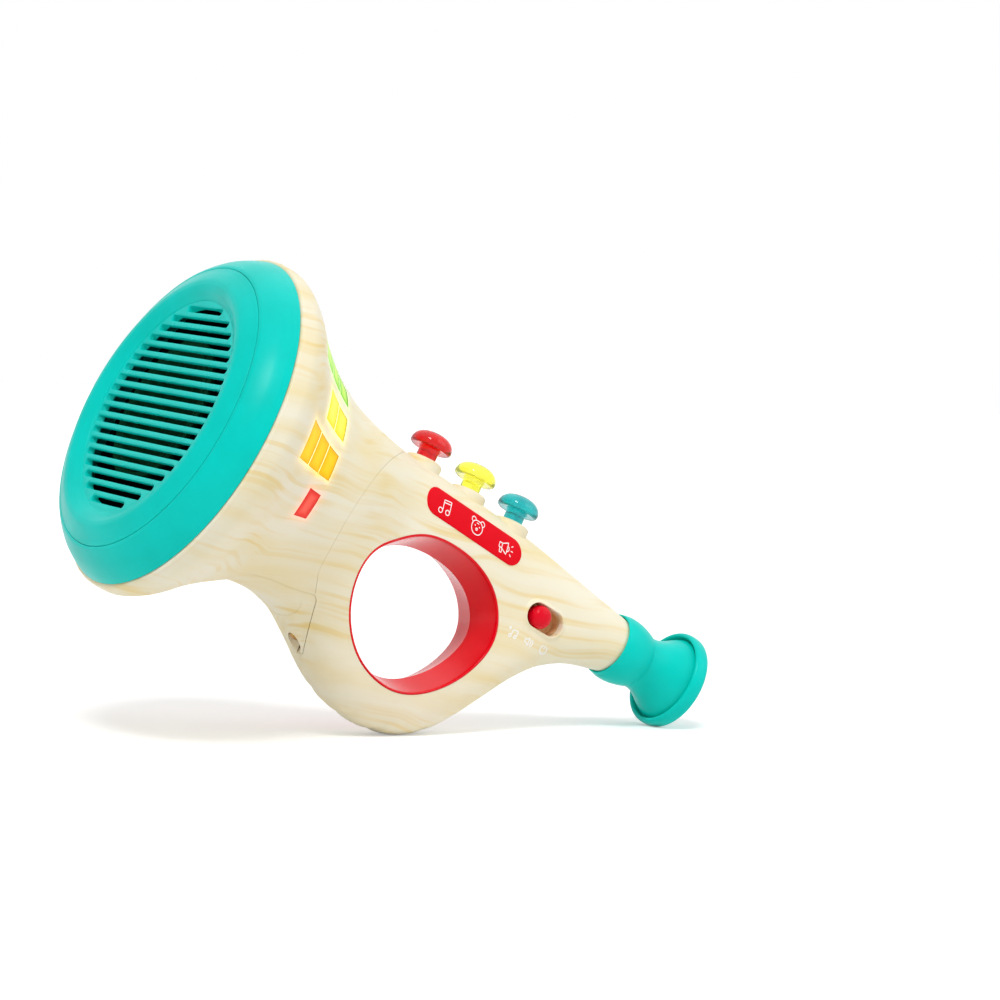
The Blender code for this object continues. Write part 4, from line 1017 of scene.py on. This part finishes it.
def crossScrew(name, centre, along, flip, tip):
    head, height, shank = screws["head"], screws["headHeight"], screws["shank"]
    profile = eased([(0, height), (1.4, height - 0.05), (head * 0.85, height * 0.8, 0.4), (head, height * 0.45, 0.3),
                     (head, 0, 0.1), (shank, 0), (shank, 1 - tip), (0, -tip)], 5)
    made = turned(name, [(r, h * flip) for r, h in profile], centre, along, 48, closed=False)
    lift = Vector((0, flip, 0)) if along == "Y" else Vector((0, 0, flip))
    long, short = screws["cross"]
    for reach, half in ((long, short), (short, long)):
        rings = []
        for depth, shrink in ((0.5, 1.0), (-1.2, 0.6)):
            mid = Vector(centre) + lift * (height + depth)
            a, b = Vector((reach, 0, 0)) * shrink, lift.cross(Vector((1, 0, 0))) * half * shrink
            rings.append([mid + a + b, mid - a + b, mid - a - b, mid + a - b])
        cut(made, loft(name + "Recess", rings))
    return settle(made)


steelLook = metalLook("steel", shade(196, 196, 200))
steelYellow = metalLook("steelYellow", shade(196, 150, 84), 0.45)
headAt = screwPoint + upward * (door["recessDepth"] - door["headGap"])
dress(crossScrew("doorScrew", headAt, "Z", -1, door["screwTip"]), steelYellow, rides="screw", stands=("door_screw",),
      sharp=30)
for number, (x, z) in enumerate(screws["sites"], 1):
    y = screws["seat"] + screws["gap"]
    dress(crossScrew("handleScrew%d" % number, (x, y, z), "Y", 1, y + screws["length"]), steelLook,
          stands=("shell_screw_%d" % number,), sharp=30)
print("door and screws done")

# mouthpiece: collar and flared cup with a rolled rim, as (radius, distance along) from where each starts
collar = {
    "start": 209.3, "sides": 128, "inside": ((5.2, -7), (7.6, -7), (7.6, 0), (12.0, 0), (12.05, -1.3)),
    "lip": ((12.05, -1.3), (12.5, -1.55, 0.25), (12.75, -1.0)),
    "outside": ((12.75, -1.0), (13.1, 0.6), (13.38, 2.2), (13.45, 4.2), (13.3, 6.4), (12.9, 8.8), (12.3, 11.2),
                (11.75, 12.95)),
    "sleeve": ((11.75, 12.95), (11.45, 13.2, 0.2), (10.6, 13.2), (10.6, 17.0)), "end": (5.2, 17.0),
}
profile = [*collar["inside"], *eased(collar["lip"], 4)[1:-1], *curveThrough(collar["outside"], 5),
           *eased(collar["sleeve"], 4)[1:], collar["end"]]
dress(turned("mouthCollar", profile, (collar["start"], 0, mouth["z"]), steps=collar["sides"]), tealPlastic,
      stands=("mouthpiece_collar",))
cup = {
    "start": 226.6, "sides": 128, "step": ((17.2, 14.6), (17.45, 14.4)), "socket": ((10.7, 0), (10.7, -4.07)),
    "flare": ((11.05, -4.07), (10.98, -2.0), (11.0, 0), (11.3, 2.0), (11.9, 4.0), (12.9, 6.4), (14.3, 8.9),
              (15.7, 11.2), (16.6, 13.0), (16.95, 14.2)),
    "rim": ((17.55, 13.1), (17.75, 12.3), (18.3, 11.9), (19.0, 12.2), (19.5, 13.0), (19.7, 14.1), (19.7, 16.1),
            (19.35, 17.4), (18.6, 18.2), (17.6, 18.5)),
    "bowl": ((16.0, 18.5), (15.3, 17.9), (14.2, 16.1), (12.5, 13.0), (9.5, 9.4), (6.6, 5.5), (4.7, 2.2), (4.5, 0)),
}
profile = [*curveThrough(cup["flare"], 5), *cup["step"], *curveThrough(cup["rim"], 5), *curveThrough(cup["bowl"], 5),
           *cup["socket"]]
dress(turned("mouthCup", profile, (cup["start"], 0, mouth["z"]), steps=cup["sides"]), tealPlastic,
      stands=("mouthpiece_cup",))
print("mouthpiece done")

# looks of the pieces inside, which keep their own shape
# painted shade: the speaker frame and cone are dark green so the shade seen through the grille slots takes a green tint
speakerGreen = plasticLook("speakerGreen", shade(10, 66, 40), shade(6, 52, 30), rough=0.8, spec=0.05, speckle=0.3)
rubber = plasticLook("contactRubber", shade(60, 60, 64), shade(48, 48, 52), rough=0.7, spec=0.2)
cellWrap = plasticLook("cellWrap", shade(70, 74, 84), shade(58, 62, 72), rough=0.25, spec=0.5)
insideLooks = {
    "battery_box": darkPlastic, "speaker_frame": speakerGreen, "speaker_cone": speakerGreen, "switch_body": switchTan,
    "main_board": plasticLook("boardGreen", shade(30, 110, 60), shade(22, 92, 48), rough=0.45),
    "light_board": plasticLook("boardGreenLight", shade(30, 110, 60), shade(22, 92, 48), rough=0.45),
}
for name in ("speaker_magnet", "microphone", "battery_contact_front", "battery_contact_rear"):
    insideLooks[name] = steelLook
for name in buttons["x"]:
    insideLooks["valve_spring_" + name] = steelLook
    insideLooks["valve_contact_" + name] = rubber
for number in (1, 2, 3):
    insideLooks["battery_cell_%d" % number] = cellWrap
for name, look in insideLooks.items():
    mesh = cadNodes[name].data
    mesh.materials.clear()
    mesh.materials.append(look)
for made in tools:
    bpy.data.objects.remove(made)
print("inside done")

# floor, light and camera
floor = {"size": 6.0, "lift": 0.34, "cloud": 0.5, "pale": (0.85, 0.87)}
sky = {"level": 0.45}


def seenRays(tree):  # 1 for the rays that find the white background
    path = tree.nodes.new("ShaderNodeLightPath")
    seen = path.outputs["Is Camera Ray"]
    for ray in ("Is Transmission Ray", "Is Glossy Ray"):
        most = tree.nodes.new("ShaderNodeMath")
        most.operation = "MAXIMUM"
        tree.links.new(seen, most.inputs[0])
        tree.links.new(path.outputs[ray], most.inputs[1])
        seen = most.outputs[0]
    return seen


bm = bmesh.new()
bmesh.ops.create_grid(bm, x_segments=2, y_segments=2, size=floor["size"])
ground = addMesh("ground", bm)
look = Look("groundWhite")
dull, bright = floor["pale"]
look.colour(look.noise(look.grain(floor["cloud"])), ((0.3, grey(dull)), (0.7, grey(bright))))
look.set(rough=0.9, spec=0.0, glow=(1, 1, 1, 1))
look.link(look.maths("MULTIPLY", seenRays(look.tree), floor["lift"]), look.shader.inputs["Emission Strength"])
ground.data.materials.append(look.made)

world = scene.world or bpy.data.worlds.new("studio")
scene.world = world
world.use_nodes = True
tree = world.node_tree
tree.nodes.clear()
level = tree.nodes.new("ShaderNodeMapRange")
level.inputs["To Min"].default_value = sky["level"]
level.inputs["To Max"].default_value = 1.0
tree.links.new(seenRays(tree), level.inputs["Value"])
back = tree.nodes.new("ShaderNodeBackground")
back.inputs["Color"].default_value = (1, 1, 1, 1)
tree.links.new(level.outputs["Result"], back.inputs["Strength"])
out = tree.nodes.new("ShaderNodeOutputWorld")
tree.links.new(back.outputs[0], out.inputs["Surface"])

# each lamp: the way it comes from, its strength and its spread in degrees
lamps = {"key": ((-0.45, -0.62, 1.1), 1.34, 16), "overhead": ((0.25, 0.1, 1.0), 0.42, 70),
         "fill": ((0.8, -0.75, 0.62), 0.5, 44)}
for name, (way, power, spread) in lamps.items():
    lamp = bpy.data.lights.new(name, "SUN")
    lamp.energy = power
    lamp.angle = math.radians(spread)
    made = bpy.data.objects.new(name, lamp)
    made.rotation_euler = Vector(way).to_track_quat("Z", "Y").to_euler()
    scene.collection.objects.link(made)

view = {"spot": (-0.6646, -1.0779, 0.1501), "right": (0.8376, -0.5445, 0.0444), "up": (-0.0112, 0.0641, 0.9979),
        "lens": 121.46, "sensor": 36.0}
lens = bpy.data.cameras.new("camera")
lens.sensor_width = view["sensor"]
lens.lens = view["lens"]
camera = bpy.data.objects.new("camera", lens)
right = Vector(view["right"]).normalized()
up = (Vector(view["up"]) - right * right.dot(Vector(view["up"]))).normalized()
camera.matrix_world = Matrix.Translation(view["spot"]) @ Matrix((right, up, right.cross(up))).transposed().to_4x4()
scene.collection.objects.link(camera)
scene.camera = camera
print("floor, light and camera done")
